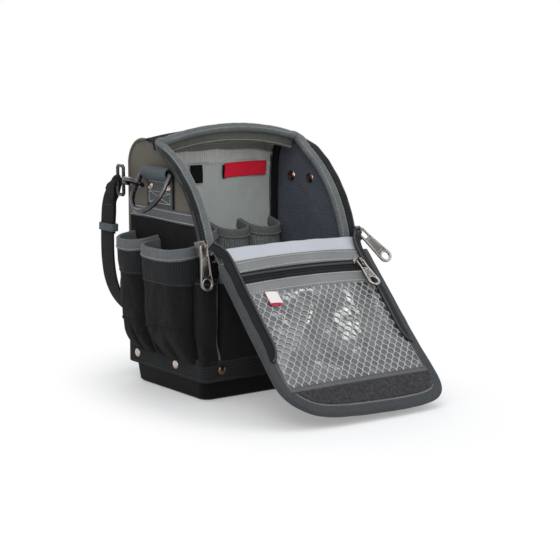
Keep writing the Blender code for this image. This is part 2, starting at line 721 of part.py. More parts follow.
strip_end = STRIP_START + STRIP_WIDTH
pocket_zip_start = strip_end + GAP
pocket_zip_end = pocket_zip_start + POCKET_ZIP_WIDTH
POCKET_ZIP_MIDDLE = (pocket_zip_start + pocket_zip_end) / 2
on_flap("flap_strip_upper", plain_plan(PANEL_POCKET_HALF_WIDTH, STRIP_START, strip_end),
        STRIP_THICKNESS, 1, GREY_TRIM)
on_flap("flap_strip_lower", plain_plan(PANEL_POCKET_HALF_WIDTH, pocket_zip_end + GAP,
                                       FLAP_JOINTS[1] - MESH_BREAK), STRIP_THICKNESS, 1, GREY_TRIM)
pocket_tape = on_flap("pocket_zipper",
                      plain_plan(PANEL_POCKET_HALF_WIDTH, pocket_zip_start, pocket_zip_end),
                      STRIP_THICKNESS, 1, ZIP_TAPE)
pocket_coil_plan = [
    (POCKET_ZIP_LOW, POCKET_ZIP_MIDDLE - POCKET_COIL_WIDTH / 2),
    (POCKET_ZIP_HIGH, POCKET_ZIP_MIDDLE - POCKET_COIL_WIDTH / 2),
    (POCKET_ZIP_HIGH, POCKET_ZIP_MIDDLE + POCKET_COIL_WIDTH / 2),
    (POCKET_ZIP_LOW, POCKET_ZIP_MIDDLE + POCKET_COIL_WIDTH / 2),
]
pocket_coil = on_flap("pocket_coil", pocket_coil_plan, POCKET_COIL_THICKNESS, 1, ZIP_TAPE,
                      SEAT + STRIP_THICKNESS / 2)
combine(pocket_tape, [pocket_coil], "UNION")
mesh_ends = ((FLAP_JOINTS[1] + MESH_BREAK, FLAP_JOINTS[2] - MESH_BREAK),
             (FLAP_JOINTS[2] + MESH_BREAK, FLAP_JOINTS[3] - MESH_BREAK),
             (FLAP_JOINTS[3] + MESH_BREAK, MESH_END))
for number, (start, end) in enumerate(mesh_ends, 1):
    on_flap(f"mesh_pocket_{number}", plain_plan(PANEL_POCKET_HALF_WIDTH, start, end),
            MESH_THICKNESS, number + 1, CLEAR_MESH)
on_flap("loop_strip", end_plan(PANEL_POCKET_HALF_WIDTH, LOOP_START, LOOP_END, LOOP_CORNER),
        LOOP_THICKNESS, 5, LOOP_PILE)

# Sewn pockets, each an open-topped bag with its own back wall
POCKET_FOOT = band_high + GAP
POCKET_CORNER_STEPS = 3


def pocket_plan(base, depth, low, high, corner):
    """A pocket's outline with u away from the panel and v along it."""
    quarter = math.pi / 2
    points = [(base, low)]
    points += arc(base + depth - corner, low + corner, corner, -quarter, 0, POCKET_CORNER_STEPS)
    points += arc(base + depth - corner, high - corner, corner, 0, quarter, POCKET_CORNER_STEPS)
    points.append((base, high))
    return points


def to_front(points):
    return [(v, -u) for u, v in points]


def to_back(points):
    return [(-v, u) for u, v in points]


SIDE_FLARE_SHARE = 0.22
SIDE_FLARE_DEPTH_SHARE = 0.70
POCKET_CORNER_SHARE = 0.52
side_base = BODY_HALF_WIDTH + GAP
side_pockets = (
    ("front", -BODY_FRONT + SIDE_POCKET_FRONT_END, SIDE_POCKET_SEAM - GAP, SIDE_POCKET_FRONT_LIP),
    ("rear", SIDE_POCKET_SEAM + GAP, BODY_BACK - SIDE_POCKET_FRONT_END, SIDE_POCKET_BACK_LIP),
)
for side_name, side in SIDES:
    for place, low, high, lip in side_pockets:
        sections = []
        depths = (SIDE_POCKET_FOOT_DEPTH, SIDE_POCKET_FOOT_DEPTH
                  + (SIDE_POCKET_DEPTH - SIDE_POCKET_FOOT_DEPTH) * SIDE_FLARE_DEPTH_SHARE,
                  SIDE_POCKET_DEPTH)
        heights = (POCKET_FOOT, POCKET_FOOT + (lip - POCKET_FOOT) * SIDE_FLARE_SHARE, lip)
        for depth, height in zip(depths, heights):
            plan = pocket_plan(side_base, depth, low, high, depth * POCKET_CORNER_SHARE)
            sections.append((mirrored(plan, side), height))
        tub(f"side_pocket_{side_name}_{place}", sections, POCKET_WALL, POCKET_FLOOR, BLACK_NYLON)


def leaning_sections(depth, half_width, lip):
    sections = []
    for share in (0.0, 0.5, 1.0):
        height = POCKET_FOOT + (lip - POCKET_FOOT) * share
        full = depth * (POCKET_FOOT_WIDTH_SHARE + (1 - POCKET_FOOT_WIDTH_SHARE) * share)
        plan = pocket_plan(front_at(height) + GAP, full, -half_width, half_width,
                           full * POCKET_CORNER_SHARE)
        sections.append((to_front(plan), height))
    return sections


tub("front_pocket", leaning_sections(FRONT_POCKET_DEPTH, FRONT_POCKET_HALF_WIDTH, FRONT_POCKET_LIP),
    POCKET_WALL, POCKET_FLOOR, TAUPE_NYLON)
rear_sections = []
for share in (0.0, 0.5, 1.0):
    rear_height = POCKET_FOOT + (REAR_POCKET_LIP - POCKET_FOOT) * share
    rear_plan = pocket_plan(BODY_BACK + GAP, REAR_POCKET_DEPTH, -REAR_POCKET_HALF_WIDTH,
                            REAR_POCKET_HALF_WIDTH, REAR_POCKET_DEPTH * POCKET_CORNER_SHARE)
    rear_sections.append((to_back(rear_plan), rear_height))
tub("back_pocket", rear_sections, POCKET_WALL, POCKET_FLOOR, BLACK_NYLON)

for side_name, side in SIDES:
    corner_sections = []
    for share in (0.0, 1.0):
        height = POCKET_FOOT + (CORNER_POCKET_LIP - POCKET_FOOT) * share
        face = front_at(height) + GAP
        rounding = CORNER_POCKET_DEPTH * POCKET_CORNER_SHARE
        reach = CORNER_POCKET_DEPTH
        plan = [(side_base, -face + CORNER_POCKET_SIDE_REACH), (side_base, -face),
                (side_base - CORNER_POCKET_FRONT_REACH, -face),
                (side_base - CORNER_POCKET_FRONT_REACH, -face - reach + rounding),
                (side_base - CORNER_POCKET_FRONT_REACH + rounding, -face - reach)]
        plan += arc(side_base, -face, reach, -math.pi / 2, 0, 4)
        plan.append((side_base + reach - rounding, -face + CORNER_POCKET_SIDE_REACH))
        corner_sections.append((mirrored(plan, side), height))
    tub(f"corner_pocket_{side_name}", corner_sections, POCKET_WALL, POCKET_FLOOR, BLACK_NYLON)

# Inside
liner_back = BODY_BACK - BACK_WALL - GAP
liner_front = liner_back - LINER_THICKNESS
box_solid("rear_liner", (-CROSS_HALF_WIDTH + GAP, liner_front, PANEL_FOOT),
          (CROSS_HALF_WIDTH - GAP, liner_back, LINER_TOP), GREY_LINER)
row_back = liner_front - GAP
row = box_solid("tool_row", (-ROW_HALF_WIDTH, ROW_FRONT, ROW_FOOT),
                (ROW_HALF_WIDTH, row_back, ROW_LIP), GREY_TRIM)
cell_pitch = (2 * ROW_HALF_WIDTH - ROW_WALL) / ROW_CELLS
row_cells = []
for number in range(ROW_CELLS):
    cell_low = -ROW_HALF_WIDTH + ROW_WALL + number * cell_pitch
    cell = [(cell_low, ROW_FRONT + ROW_WALL), (cell_low + cell_pitch - ROW_WALL, ROW_FRONT + ROW_WALL),
            (cell_low + cell_pitch - ROW_WALL, row_back - ROW_WALL), (cell_low, row_back - ROW_WALL)]
    row_cells.append(outline_solid(f"row_cell_{number}", [cell], ROW_FOOT + ROW_WALL,
                                   ROW_LIP + OVERRUN, PLAN_VIEW, GREY_TRIM))
combine(row, row_cells, "DIFFERENCE")
LABEL_MIDDLE = (0.048, 0.2145)
LABEL_SIZE = (0.054, 0.013)
LABEL_THICKNESS = 0.0008
box_solid("label_tab",
          (LABEL_MIDDLE[0] - LABEL_SIZE[0] / 2, liner_front - GAP - LABEL_THICKNESS,
           LABEL_MIDDLE[1] - LABEL_SIZE[1] / 2),
          (LABEL_MIDDLE[0] + LABEL_SIZE[0] / 2, liner_front - GAP,
           LABEL_MIDDLE[1] + LABEL_SIZE[1] / 2), make_material("label_red", (0.55, 0.01, 0.03), 0.7))

# Zip sliders; a slider's own x is outwards, y down the track and z away from the bag's middle
SLIDER_PIVOT = Vector((0.0, ARCH_Y, ARCH_Z))
slider_track = tape_outer - COIL_THICKNESS / 2 - SLIDER_CLEARANCE - TAPE_THICKNESS / 2
plate_floor = slider_track - SLIDER_PLATE
plate_top = ARCH_RADIUS + SLIDER_TOP_RISE
plate_roof = plate_top + SLIDER_PLATE
away = Vector((0.0, math.cos(SLIDER_TRAVEL_START), math.sin(SLIDER_TRAVEL_START)))
along = Vector((0.0, -math.sin(SLIDER_TRAVEL_START), math.cos(SLIDER_TRAVEL_START)))
BRIDGE_X = (SLIDER_TOP_INNER + SLIDER_OUTER) / 2


def pull_outline():
    """A tapered plate hanging from y = 0, widest at its far end."""
    top = PULL_BAR / 2
    half_top = PULL_TOP_WIDTH / 2
    half_end = PULL_END_WIDTH / 2
    chamfer = half_top / 3
    outer = [(-half_top + chamfer, top), (-half_top, top - chamfer), (-half_top, -PULL_SLOT_LENGTH)]
    outer += arc(0.0, -PULL_LENGTH + half_end, half_end, math.pi, 2 * math.pi, 6)
    outer += [(half_top, -PULL_SLOT_LENGTH), (half_top, top - chamfer), (half_top - chamfer, top)]
    return outer


def pull_slot():
    half = PULL_SLOT_WIDTH / 2
    start = -PULL_BAR / 2
    end = start - PULL_SLOT_LENGTH
    cut = half / 3
    return [(-half, start - cut), (-half, end + cut), (-half + cut, end), (half - cut, end),
            (half, end + cut), (half, start - cut), (half - cut, start), (-half + cut, start)]


def make_pull(name, place, across, hang, length_share=1.0):
    """A pull whose bar lies along across and whose plate runs in the direction hang."""
    up = -Vector(hang)
    face = Vector(across).cross(up)
    end_hole = arc(0.0, -PULL_LENGTH + PULL_END_WIDTH / 2, PULL_HOLE_RADIUS, 0, 2 * math.pi, 10)[:-1]
    outer = pull_outline()
    if length_share < 1.0:
        shorter = PULL_LENGTH * (1.0 - length_share)
        outer = [(x, y + shorter if y < -PULL_SLOT_LENGTH - PULL_BAR else y) for x, y in outer]
        end_hole = [(x, y + shorter) for x, y in end_hole]
    piece = outline_solid(name, [outer, pull_slot(), end_hole], -PULL_THICKNESS / 2,
                          PULL_THICKNESS / 2, frame_matrix(place, across, up, face), GUNMETAL)
    return origin_at(piece, place)


pull_turns = {
    "left": Vector((0.0, -math.sin(PULL_LEAN), -math.cos(PULL_LEAN))),
    "right": Vector((math.cos(RIGHT_PULL_TURN) * math.cos(RIGHT_PULL_DROP),
                     math.sin(RIGHT_PULL_TURN) * math.cos(RIGHT_PULL_DROP),
                     -math.sin(RIGHT_PULL_DROP))),
}
for side_name, side in SIDES:
    outwards = Vector((side, 0.0, 0.0))
    base = SLIDER_PIVOT.copy()
    frame = frame_matrix(base, outwards, away.cross(outwards), away)
    inner_x = BODY_HALF_WIDTH + GAP
    wall_x = SLIDER_OUTER - SLIDER_PLATE
    channel = [(inner_x, plate_floor), (SLIDER_OUTER, plate_floor), (SLIDER_OUTER, plate_roof),
               (SLIDER_TOP_INNER, plate_roof), (SLIDER_TOP_INNER, plate_top), (wall_x, plate_top),
               (wall_x, slider_track), (inner_x, slider_track)]
    profile_view = frame @ Matrix(((1, 0, 0, 0), (0, 0, -1, 0), (0, 1, 0, 0), (0, 0, 0, 1)))
    slider = outline_solid(f"slider_{side_name}", [channel], -SLIDER_LENGTH / 2, SLIDER_LENGTH / 2,
                           profile_view, GUNMETAL)
    bridge_top = plate_roof + BRIDGE_RISE
    bridge_inner = BRIDGE_HALF_LENGTH - BRIDGE_STOCK
    side_sign = 1 if away.cross(outwards).dot(along) < 0 else -1
    shift = side_sign * BRIDGE_SHIFT
    bridge_profile = [
        (shift - BRIDGE_HALF_LENGTH, plate_roof - SLIDER_PLATE / 2),
        (shift - bridge_inner, plate_roof - SLIDER_PLATE / 2),
        (shift - bridge_inner, bridge_top - BRIDGE_STOCK),
        (shift + bridge_inner, bridge_top - BRIDGE_STOCK),
        (shift + bridge_inner, plate_roof - SLIDER_PLATE / 2),
        (shift + BRIDGE_HALF_LENGTH, plate_roof - SLIDER_PLATE / 2),
        (shift + BRIDGE_HALF_LENGTH, bridge_top - BRIDGE_STOCK),
        (shift + bridge_inner, bridge_top), (shift - bridge_inner, bridge_top),
        (shift - BRIDGE_HALF_LENGTH, bridge_top - BRIDGE_STOCK),
    ]
    bridge_view = frame @ Matrix(((0, 0, 1, 0), (1, 0, 0, 0), (0, 1, 0, 0), (0, 0, 0, 1)))
    bridge = outline_solid(f"bridge_{side_name}", [bridge_profile], BRIDGE_X - BRIDGE_WIDTH / 2,
                           BRIDGE_X + BRIDGE_WIDTH / 2, bridge_view, GUNMETAL)
    slider = combine(slider, [bridge], "UNION")
    origin_at(slider, SLIDER_PIVOT)
    hang = pull_turns[side_name]
    across = away.cross(hang).normalized()
    pivot = base + outwards * BRIDGE_X + away * (plate_roof + PULL_PIVOT_HEIGHT) - along * BRIDGE_SHIFT
    make_pull(f"pull_{side_name}", pivot, across, hang)

# Slider of the flap pocket, running along x on its coil
POCKET_PULL_LIFT = math.radians(9.0)
POCKET_PULL_SHARE = 0.80
coil_top = -(SEAT + STRIP_THICKNESS / 2 + POCKET_COIL_THICKNESS)
pocket_slider_top = coil_top - SLIDER_CLEARANCE - SLIDER_PLATE
coil_clear = POCKET_COIL_WIDTH / 2 + SLIDER_CLEARANCE
shoe_low = -(SEAT + STRIP_THICKNESS) - SLIDER_CLEARANCE
half_slider = POCKET_SLIDER_HALF_WIDTH
shoe = [(-half_slider, shoe_low), (-half_slider, pocket_slider_top),
        (half_slider, pocket_slider_top), (half_slider, shoe_low),
        (coil_clear, shoe_low), (coil_clear, pocket_slider_top + SLIDER_PLATE),
        (-coil_clear, pocket_slider_top + SLIDER_PLATE), (-coil_clear, shoe_low)]
zip_middle = flap_point(POCKET_ZIP_MIDDLE) + Vector((POCKET_SLIDER_REST, 0, 0))
shoe_view = frame_matrix(zip_middle, SLOPE_DOWN, SLOPE_OUT, Vector((1, 0, 0)))
pocket_slider = outline_solid("pocket_slider", [shoe], -POCKET_SLIDER_LENGTH / 2,
                              POCKET_SLIDER_LENGTH / 2, shoe_view, GUNMETAL)
bridge_top = pocket_slider_top - BRIDGE_RISE
bridge_inner = BRIDGE_HALF_LENGTH - BRIDGE_STOCK
bridge_profile = [
    (-BRIDGE_HALF_LENGTH, pocket_slider_top + SLIDER_PLATE / 2),
    (-BRIDGE_HALF_LENGTH, bridge_top + BRIDGE_STOCK), (-bridge_inner, bridge_top),
    (bridge_inner, bridge_top), (BRIDGE_HALF_LENGTH, bridge_top + BRIDGE_STOCK),
    (BRIDGE_HALF_LENGTH, pocket_slider_top + SLIDER_PLATE / 2),
    (bridge_inner, pocket_slider_top + SLIDER_PLATE / 2),
    (bridge_inner, bridge_top + BRIDGE_STOCK), (-bridge_inner, bridge_top + BRIDGE_STOCK),
    (-bridge_inner, pocket_slider_top + SLIDER_PLATE / 2),
]
pocket_bridge = outline_solid("pocket_bridge", [bridge_profile], -BRIDGE_WIDTH / 2, BRIDGE_WIDTH / 2,
                              shoe_view, GUNMETAL)
pocket_slider = combine(pocket_slider, [pocket_bridge], "UNION")
origin_at(pocket_slider, zip_middle)
pocket_pivot = zip_middle + SLOPE_OUT * (pocket_slider_top - PULL_PIVOT_HEIGHT)
pocket_hang = SLOPE_DOWN * math.cos(POCKET_PULL_LIFT) - SLOPE_OUT * math.sin(POCKET_PULL_LIFT)
make_pull("pocket_pull", pocket_pivot, Vector((1, 0, 0)), pocket_hang, POCKET_PULL_SHARE)

# D-rings on their tabs
LOOP_INNER = RING_WIRE_RADIUS + TAB_LOOP_CLEARANCE
LOOP_OUTER = LOOP_INNER + TAB_THICKNESS
tab_near = BODY_HALF_WIDTH + GAP
ring_x = tab_near + LOOP_OUTER
tab_cross = math.pi + math.acos((LOOP_OUTER - TAB_THICKNESS) / LOOP_OUTER)
ring_half = RING_INSIDE / 2 + RING_WIRE_RADIUS
rivet_face = BODY_HALF_WIDTH + GAP + TAB_THICKNESS + GAP
RIVET_CAP_HEIGHT = 0.0018


def outward_view(side, place_y):
    """Profile x outwards, y up and depth along the bag's side."""
    return Matrix(((side, 0, 0, 0), (0, 0, 1, place_y), (0, 1, 0, 0), (0, 0, 0, 1)))


for side_name, side in SIDES:
    tab_profile = [(tab_near, TAB_FOOT), (tab_near + TAB_THICKNESS, TAB_FOOT)]
    tab_profile += arc(ring_x, RING_BAR_Z, LOOP_OUTER, tab_cross, 3 * math.pi, 14)
    bar_hole = arc(ring_x, RING_BAR_Z, LOOP_INNER, 0, 2 * math.pi, 14)[:-1]
    tab = outline_solid(f"d_ring_tab_{side_name}", [tab_profile, bar_hole], -TAB_WIDTH / 2,
                        TAB_WIDTH / 2, outward_view(side, TAB_Y), STRAP_WEB)
    tab = as_mesh(tab)
    if side < 0:
        tab.data.flip_normals()
    holes = [rivet_hole(f"tab_hole_{side_name}_{name}", side, place, 0.0, GAP + TAB_THICKNESS)
             for name, place in RIVET_PLACES]
    combine(tab, holes, "DIFFERENCE")
    for name, place in RIVET_PLACES:
        cap_face = BODY_HALF_WIDTH - SIDE_WALL - GAP
        depth = rivet_face - cap_face
        profile = [(0.0, RIVET_HEAD_HEIGHT), (RIVET_HEAD_RADIUS * 0.72, RIVET_HEAD_HEIGHT * 0.72),
                   (RIVET_HEAD_RADIUS, 0.0), (RIVET_SHANK_RADIUS, 0.0),
                   (RIVET_SHANK_RADIUS, -depth), (RIVET_HEAD_RADIUS, -depth),
                   (RIVET_HEAD_RADIUS * 0.72, -depth - RIVET_CAP_HEIGHT), (0.0, -depth - RIVET_CAP_HEIGHT)]
        turned(f"tab_rivet_{side_name}_{name}", profile,
               head_matrix((side * rivet_face, place, TAB_RIVET_Z), (side, 0, 0)), RIVET_METAL, 12)
    swing = Vector((side * math.sin(RING_SWING_OUT), 0.0, -math.cos(RING_SWING_OUT)))
    bar = Vector((side * ring_x, TAB_Y, RING_BAR_Z))
    bow = [bar + Vector((0, -ring_half, 0)), bar + Vector((0, ring_half, 0))]
    bow += [bar + Vector((0, out, 0)) + swing * down
            for out, down in arc(0.0, RING_STRAIGHT, ring_half, 0, math.pi, 10)]
    corner_share = 0.12
    bow[0] = bow[0].lerp(bow[1], corner_share / 2)
    bow[1] = bow[1].lerp(bow[0], corner_share / 2)
    first_side = bar + Vector((0, ring_half, 0)) + swing * RING_STRAIGHT * corner_share
    last_side = bar + Vector((0, -ring_half, 0)) + swing * RING_STRAIGHT * corner_share
    bow = bow[:2] + [first_side] + bow[2:] + [last_side]
    ring = tube(f"d_ring_{side_name}", bow, RING_WIRE_RADIUS, GUNMETAL, closed=True)
    origin_at(ring, bar)

# Snap hooks gripping the rings' rear sides
GRIP_DOWN = 0.0140
HOOK_SHIFT = 0.0022
HOOK_NECK = 0.0175
HOOK_NOSE = 0.0040
GATE_PIVOT = 0.0142
GATE_PIVOT_OFF = 0.0066
GATE_CLEARANCE = 0.0004
eye_point = Vector((0, 0, 0))
for side_name, side in SIDES:
    swing = Vector((side * math.sin(RING_SWING_OUT), 0.0, -math.cos(RING_SWING_OUT)))
    bar = Vector((side * ring_x, TAB_Y, RING_BAR_Z))
    grip = bar + Vector((0, ring_half, 0)) + swing * GRIP_DOWN
    back = Vector((0.0, 1.0, 0.0))
    raised = Vector((side * math.cos(RING_SWING_OUT), 0.0, math.sin(RING_SWING_OUT)))

    def at(a, b):
        return grip + back * a + raised * b

    half = HOOK_HALF_WIDTH
    body_path = [at(GATE_PIVOT + HOOK_WIRE_RADIUS, -GATE_PIVOT_OFF), at(HOOK_NECK, -half / 3),
                 at(HOOK_NECK, half / 3), at(GATE_PIVOT + HOOK_WIRE_RADIUS, half * 0.85),
                 at(GATE_PIVOT - HOOK_WIRE_RADIUS, half)]
    body_path += [at(HOOK_SHIFT + a, b) for a, b in arc(0.0, 0.0, half, math.pi / 2, 3 * math.pi / 2, 8)]
    body_path.append(at(HOOK_NOSE, -half))
    hook = as_mesh(tube(f"snap_hook_{side_name}", body_path, HOOK_WIRE_RADIUS, GUNMETAL))
    barrel_profile = [(0.0, BARREL_LENGTH), (BARREL_RADIUS * 0.8, BARREL_LENGTH),
                      (BARREL_RADIUS, BARREL_LENGTH * 0.88), (BARREL_RADIUS, BARREL_LENGTH * 0.12),
                      (BARREL_RADIUS * 0.8, 0.0), (0.0, 0.0)]
    up = Vector((0, 0, 1))
    barrel = turned(f"barrel_{side_name}", barrel_profile,
                    frame_matrix(at(HOOK_NECK - HOOK_WIRE_RADIUS / 2, 0), up.cross(back) * -1, up, back),
                    GUNMETAL, 12)
    barrel.matrix_world = frame_matrix(at(HOOK_NECK - HOOK_WIRE_RADIUS / 2, 0), up, back.cross(up), back)
    hook = combine(hook, [barrel], "UNION")
    origin_at(hook, grip)
    gate_tip = at(HOOK_NOSE + GATE_RADIUS / 2 + GATE_CLEARANCE + GAP, -half)
    gate_root = at(GATE_PIVOT - GATE_RADIUS / 2, -GATE_PIVOT_OFF - (half - GATE_PIVOT_OFF) / 2)
    gate = tube(f"gate_{side_name}", [gate_root, gate_tip], GATE_RADIUS, GUNMETAL, resolution=1)
    origin_at(gate, gate_root)
    eye_near = HOOK_NECK - HOOK_WIRE_RADIUS / 2 + BARREL_LENGTH + GAP + EYE_WIRE_RADIUS
    rounded = EYE_WIRE_RADIUS
    eye_path = [(eye_near, EYE_HALF_HEIGHT - rounded), (eye_near + rounded, EYE_HALF_HEIGHT),
                (eye_near + EYE_LENGTH - rounded, EYE_HALF_HEIGHT),
                (eye_near + EYE_LENGTH, EYE_HALF_HEIGHT - rounded),
                (eye_near + EYE_LENGTH, -EYE_HALF_HEIGHT + rounded),
                (eye_near + EYE_LENGTH - rounded, -EYE_HALF_HEIGHT),
                (eye_near + rounded, -EYE_HALF_HEIGHT), (eye_near, -EYE_HALF_HEIGHT + rounded)]
    eye_points = [grip + back * a + up * b for a, b in eye_path]
    eye = tube(f"swivel_eye_{side_name}", eye_points, EYE_WIRE_RADIUS, GUNMETAL, closed=True)
    eye_point = grip + back * (eye_near + EYE_LENGTH)
    origin_at(eye, bar)

# Shoulder strap, hanging in a U behind the bag from the eyes' rear bars
CHEEK_INNER = EYE_WIRE_RADIUS + GAP
CHEEK_OUTER = CHEEK_INNER + CHEEK_THICKNESS
CHEEK_JOIN = EYE_HALF_HEIGHT + EYE_WIRE_RADIUS + CHEEK_CLEARANCE
CHEEK_END = CHEEK_JOIN + CHEEK_BLOCK
STRAP_START = CHEEK_END - CHEEK_OVERLAP
strap_pivot = Vector((0.0, eye_point.y, eye_point.z))
fall = Vector((0.0, math.cos(STRAP_SLANT), math.sin(STRAP_SLANT)))
EYE_X = abs(eye_point.x)
centres = [strap_pivot + fall * STRAP_START + Vector((-EYE_X, 0, 0))]
for in_share, back_share, down_share in STRAP_PATH_SHARES:
    centres.append(strap_pivot + Vector((-EYE_X * (1 - in_share), STRAP_BACK * back_share,
                                         -STRAP_DROP * down_share)))
centres += [Vector((-point.x, point.y, point.z)) for point in reversed(centres[:-1])]
rings = []
for index, point in enumerate(centres):
    before = centres[max(index - 1, 0)]
    after = centres[min(index + 1, len(centres) - 1)]
    direction = (after - before).normalized()
    if index in (0, len(centres) - 1):
        direction = Vector((0.0, fall.y, fall.z)) * (1 if index == 0 else -1)
    width = (Vector((0, 1, 0)) - direction * direction.y).normalized()
    if index in (0, len(centres) - 1):
        width = Vector((0.0, -fall.z, fall.y))
    thick = direction.cross(width)
    ends = abs(index - (len(centres) - 1) / 2) / ((len(centres) - 1) / 2)
    half_width = STRAP_WIDTH / 2 if ends < 0.85 else CHEEK_HALF_WIDTH
    rings.append([point + width * half_width * a + thick * STRAP_THICKNESS / 2 * b
                  for a, b in ((-1, -1), (1, -1), (1, 1), (-1, 1))])
strap = loft("strap_webbing", rings, STRAP_WEB)
forks = []
for side_name, side in SIDES:
    fork = [(-CHEEK_OUTER, -CHEEK_PAST), (-CHEEK_INNER, -CHEEK_PAST), (-CHEEK_INNER, CHEEK_JOIN),
            (CHEEK_INNER, CHEEK_JOIN), (CHEEK_INNER, -CHEEK_PAST), (CHEEK_OUTER, -CHEEK_PAST),
            (CHEEK_OUTER, CHEEK_END), (-CHEEK_OUTER, CHEEK_END)]
    place = strap_pivot + Vector((side * EYE_X, 0, 0))
    fork_view = frame_matrix(place, Vector((1, 0, 0)), fall, Vector((1, 0, 0)).cross(fall))
    forks.append(outline_solid(f"fork_{side_name}", [fork], -CHEEK_HALF_WIDTH, CHEEK_HALF_WIDTH,
                               fork_view, STRAP_WEB))
combine(strap, forks, "UNION")
origin_at(strap, strap_pivot)
glide_low = strap_pivot.z - STRAP_DROP
glide_y = strap_pivot.y + STRAP_BACK
glide_reach = STRAP_WIDTH / 2 + GLIDE_BAR
glide_low_corner = (GLIDE_SIDE - GLIDE_LENGTH / 2, glide_y - glide_reach,
                    glide_low - GLIDE_THICKNESS / 2)
glide_high_corner = (GLIDE_SIDE + GLIDE_LENGTH / 2, glide_y + glide_reach,
                     glide_low + GLIDE_THICKNESS / 2)
glide = box_solid("strap_glide", glide_low_corner, glide_high_corner, GUNMETAL)
glide_slot = box_solid("glide_slot",
                       (-STRAP_WIDTH, glide_y - STRAP_WIDTH / 2 - GAP,
                        glide_low - STRAP_THICKNESS / 2 - GAP),
                       (2 * STRAP_WIDTH, glide_y + STRAP_WIDTH / 2 + GAP,
                        glide_low + STRAP_THICKNESS / 2 + GAP), GUNMETAL)
combine(glide, [glide_slot], "DIFFERENCE")
origin_at(glide, strap_pivot)
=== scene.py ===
# Open-mouth tool bag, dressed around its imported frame. Sizes are in millimetres unless said.
import math

import bmesh
import bpy
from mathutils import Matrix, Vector, noise

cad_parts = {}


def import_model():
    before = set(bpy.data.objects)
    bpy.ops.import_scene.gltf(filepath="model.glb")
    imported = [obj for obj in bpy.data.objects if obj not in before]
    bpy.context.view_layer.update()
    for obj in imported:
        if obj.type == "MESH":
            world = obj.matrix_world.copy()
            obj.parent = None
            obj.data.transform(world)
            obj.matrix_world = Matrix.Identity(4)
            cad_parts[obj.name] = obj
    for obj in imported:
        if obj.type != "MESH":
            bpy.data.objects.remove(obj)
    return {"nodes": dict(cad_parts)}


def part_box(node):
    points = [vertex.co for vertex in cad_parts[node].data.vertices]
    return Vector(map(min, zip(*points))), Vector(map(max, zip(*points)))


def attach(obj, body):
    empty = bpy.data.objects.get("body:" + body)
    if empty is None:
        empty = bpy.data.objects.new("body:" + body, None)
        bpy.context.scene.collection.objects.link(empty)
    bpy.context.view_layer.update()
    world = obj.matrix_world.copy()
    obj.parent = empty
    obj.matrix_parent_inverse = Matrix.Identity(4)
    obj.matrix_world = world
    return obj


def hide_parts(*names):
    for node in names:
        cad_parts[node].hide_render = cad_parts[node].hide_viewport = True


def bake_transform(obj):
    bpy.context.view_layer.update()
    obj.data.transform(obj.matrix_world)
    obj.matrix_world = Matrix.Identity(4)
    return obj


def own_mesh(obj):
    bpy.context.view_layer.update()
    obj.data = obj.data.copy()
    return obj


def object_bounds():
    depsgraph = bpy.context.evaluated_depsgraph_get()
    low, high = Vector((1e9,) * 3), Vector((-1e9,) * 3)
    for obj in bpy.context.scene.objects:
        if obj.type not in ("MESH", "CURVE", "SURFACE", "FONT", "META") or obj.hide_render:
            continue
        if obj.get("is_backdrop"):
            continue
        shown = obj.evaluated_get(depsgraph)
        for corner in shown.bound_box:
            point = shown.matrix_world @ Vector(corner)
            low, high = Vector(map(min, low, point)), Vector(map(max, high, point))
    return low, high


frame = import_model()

cad_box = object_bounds()
MM = 0.001
TAU = 2 * math.pi
SIDES = (("left", -1), ("right", 1))

# The opening's arch and the flap's hinge, in the side view
ARCH_Y, ARCH_Z = 60.0, 120.0
HINGE = Vector((0, -86.0, 155.5))
SLOPE = math.radians(46.5)
DOWN = Vector((0, -math.cos(SLOPE), -math.sin(SLOPE)))
OUT = Vector((0, math.sin(SLOPE), -math.cos(SLOPE)))


def srgb(r, g, b):
    def linear(c):
        c /= 255
        return c / 12.92 if c <= 0.04045 else ((c + 0.055) / 1.055) ** 2.4
    return (linear(r), linear(g), linear(b), 1.0)


# Materials
def add_node(tree, kind, sockets=None, **settings):
    """A shader node; each socket is set to a value or linked to an output."""
    node = tree.nodes.new("ShaderNode" + kind)
    for name, value in settings.items():
        setattr(node, name, value)
    for socket, value in (sockets or {}).items():
        if isinstance(value, bpy.types.NodeSocket):
            tree.links.new(value, node.inputs[socket])
        else:
            node.inputs[socket].default_value = value
    return node


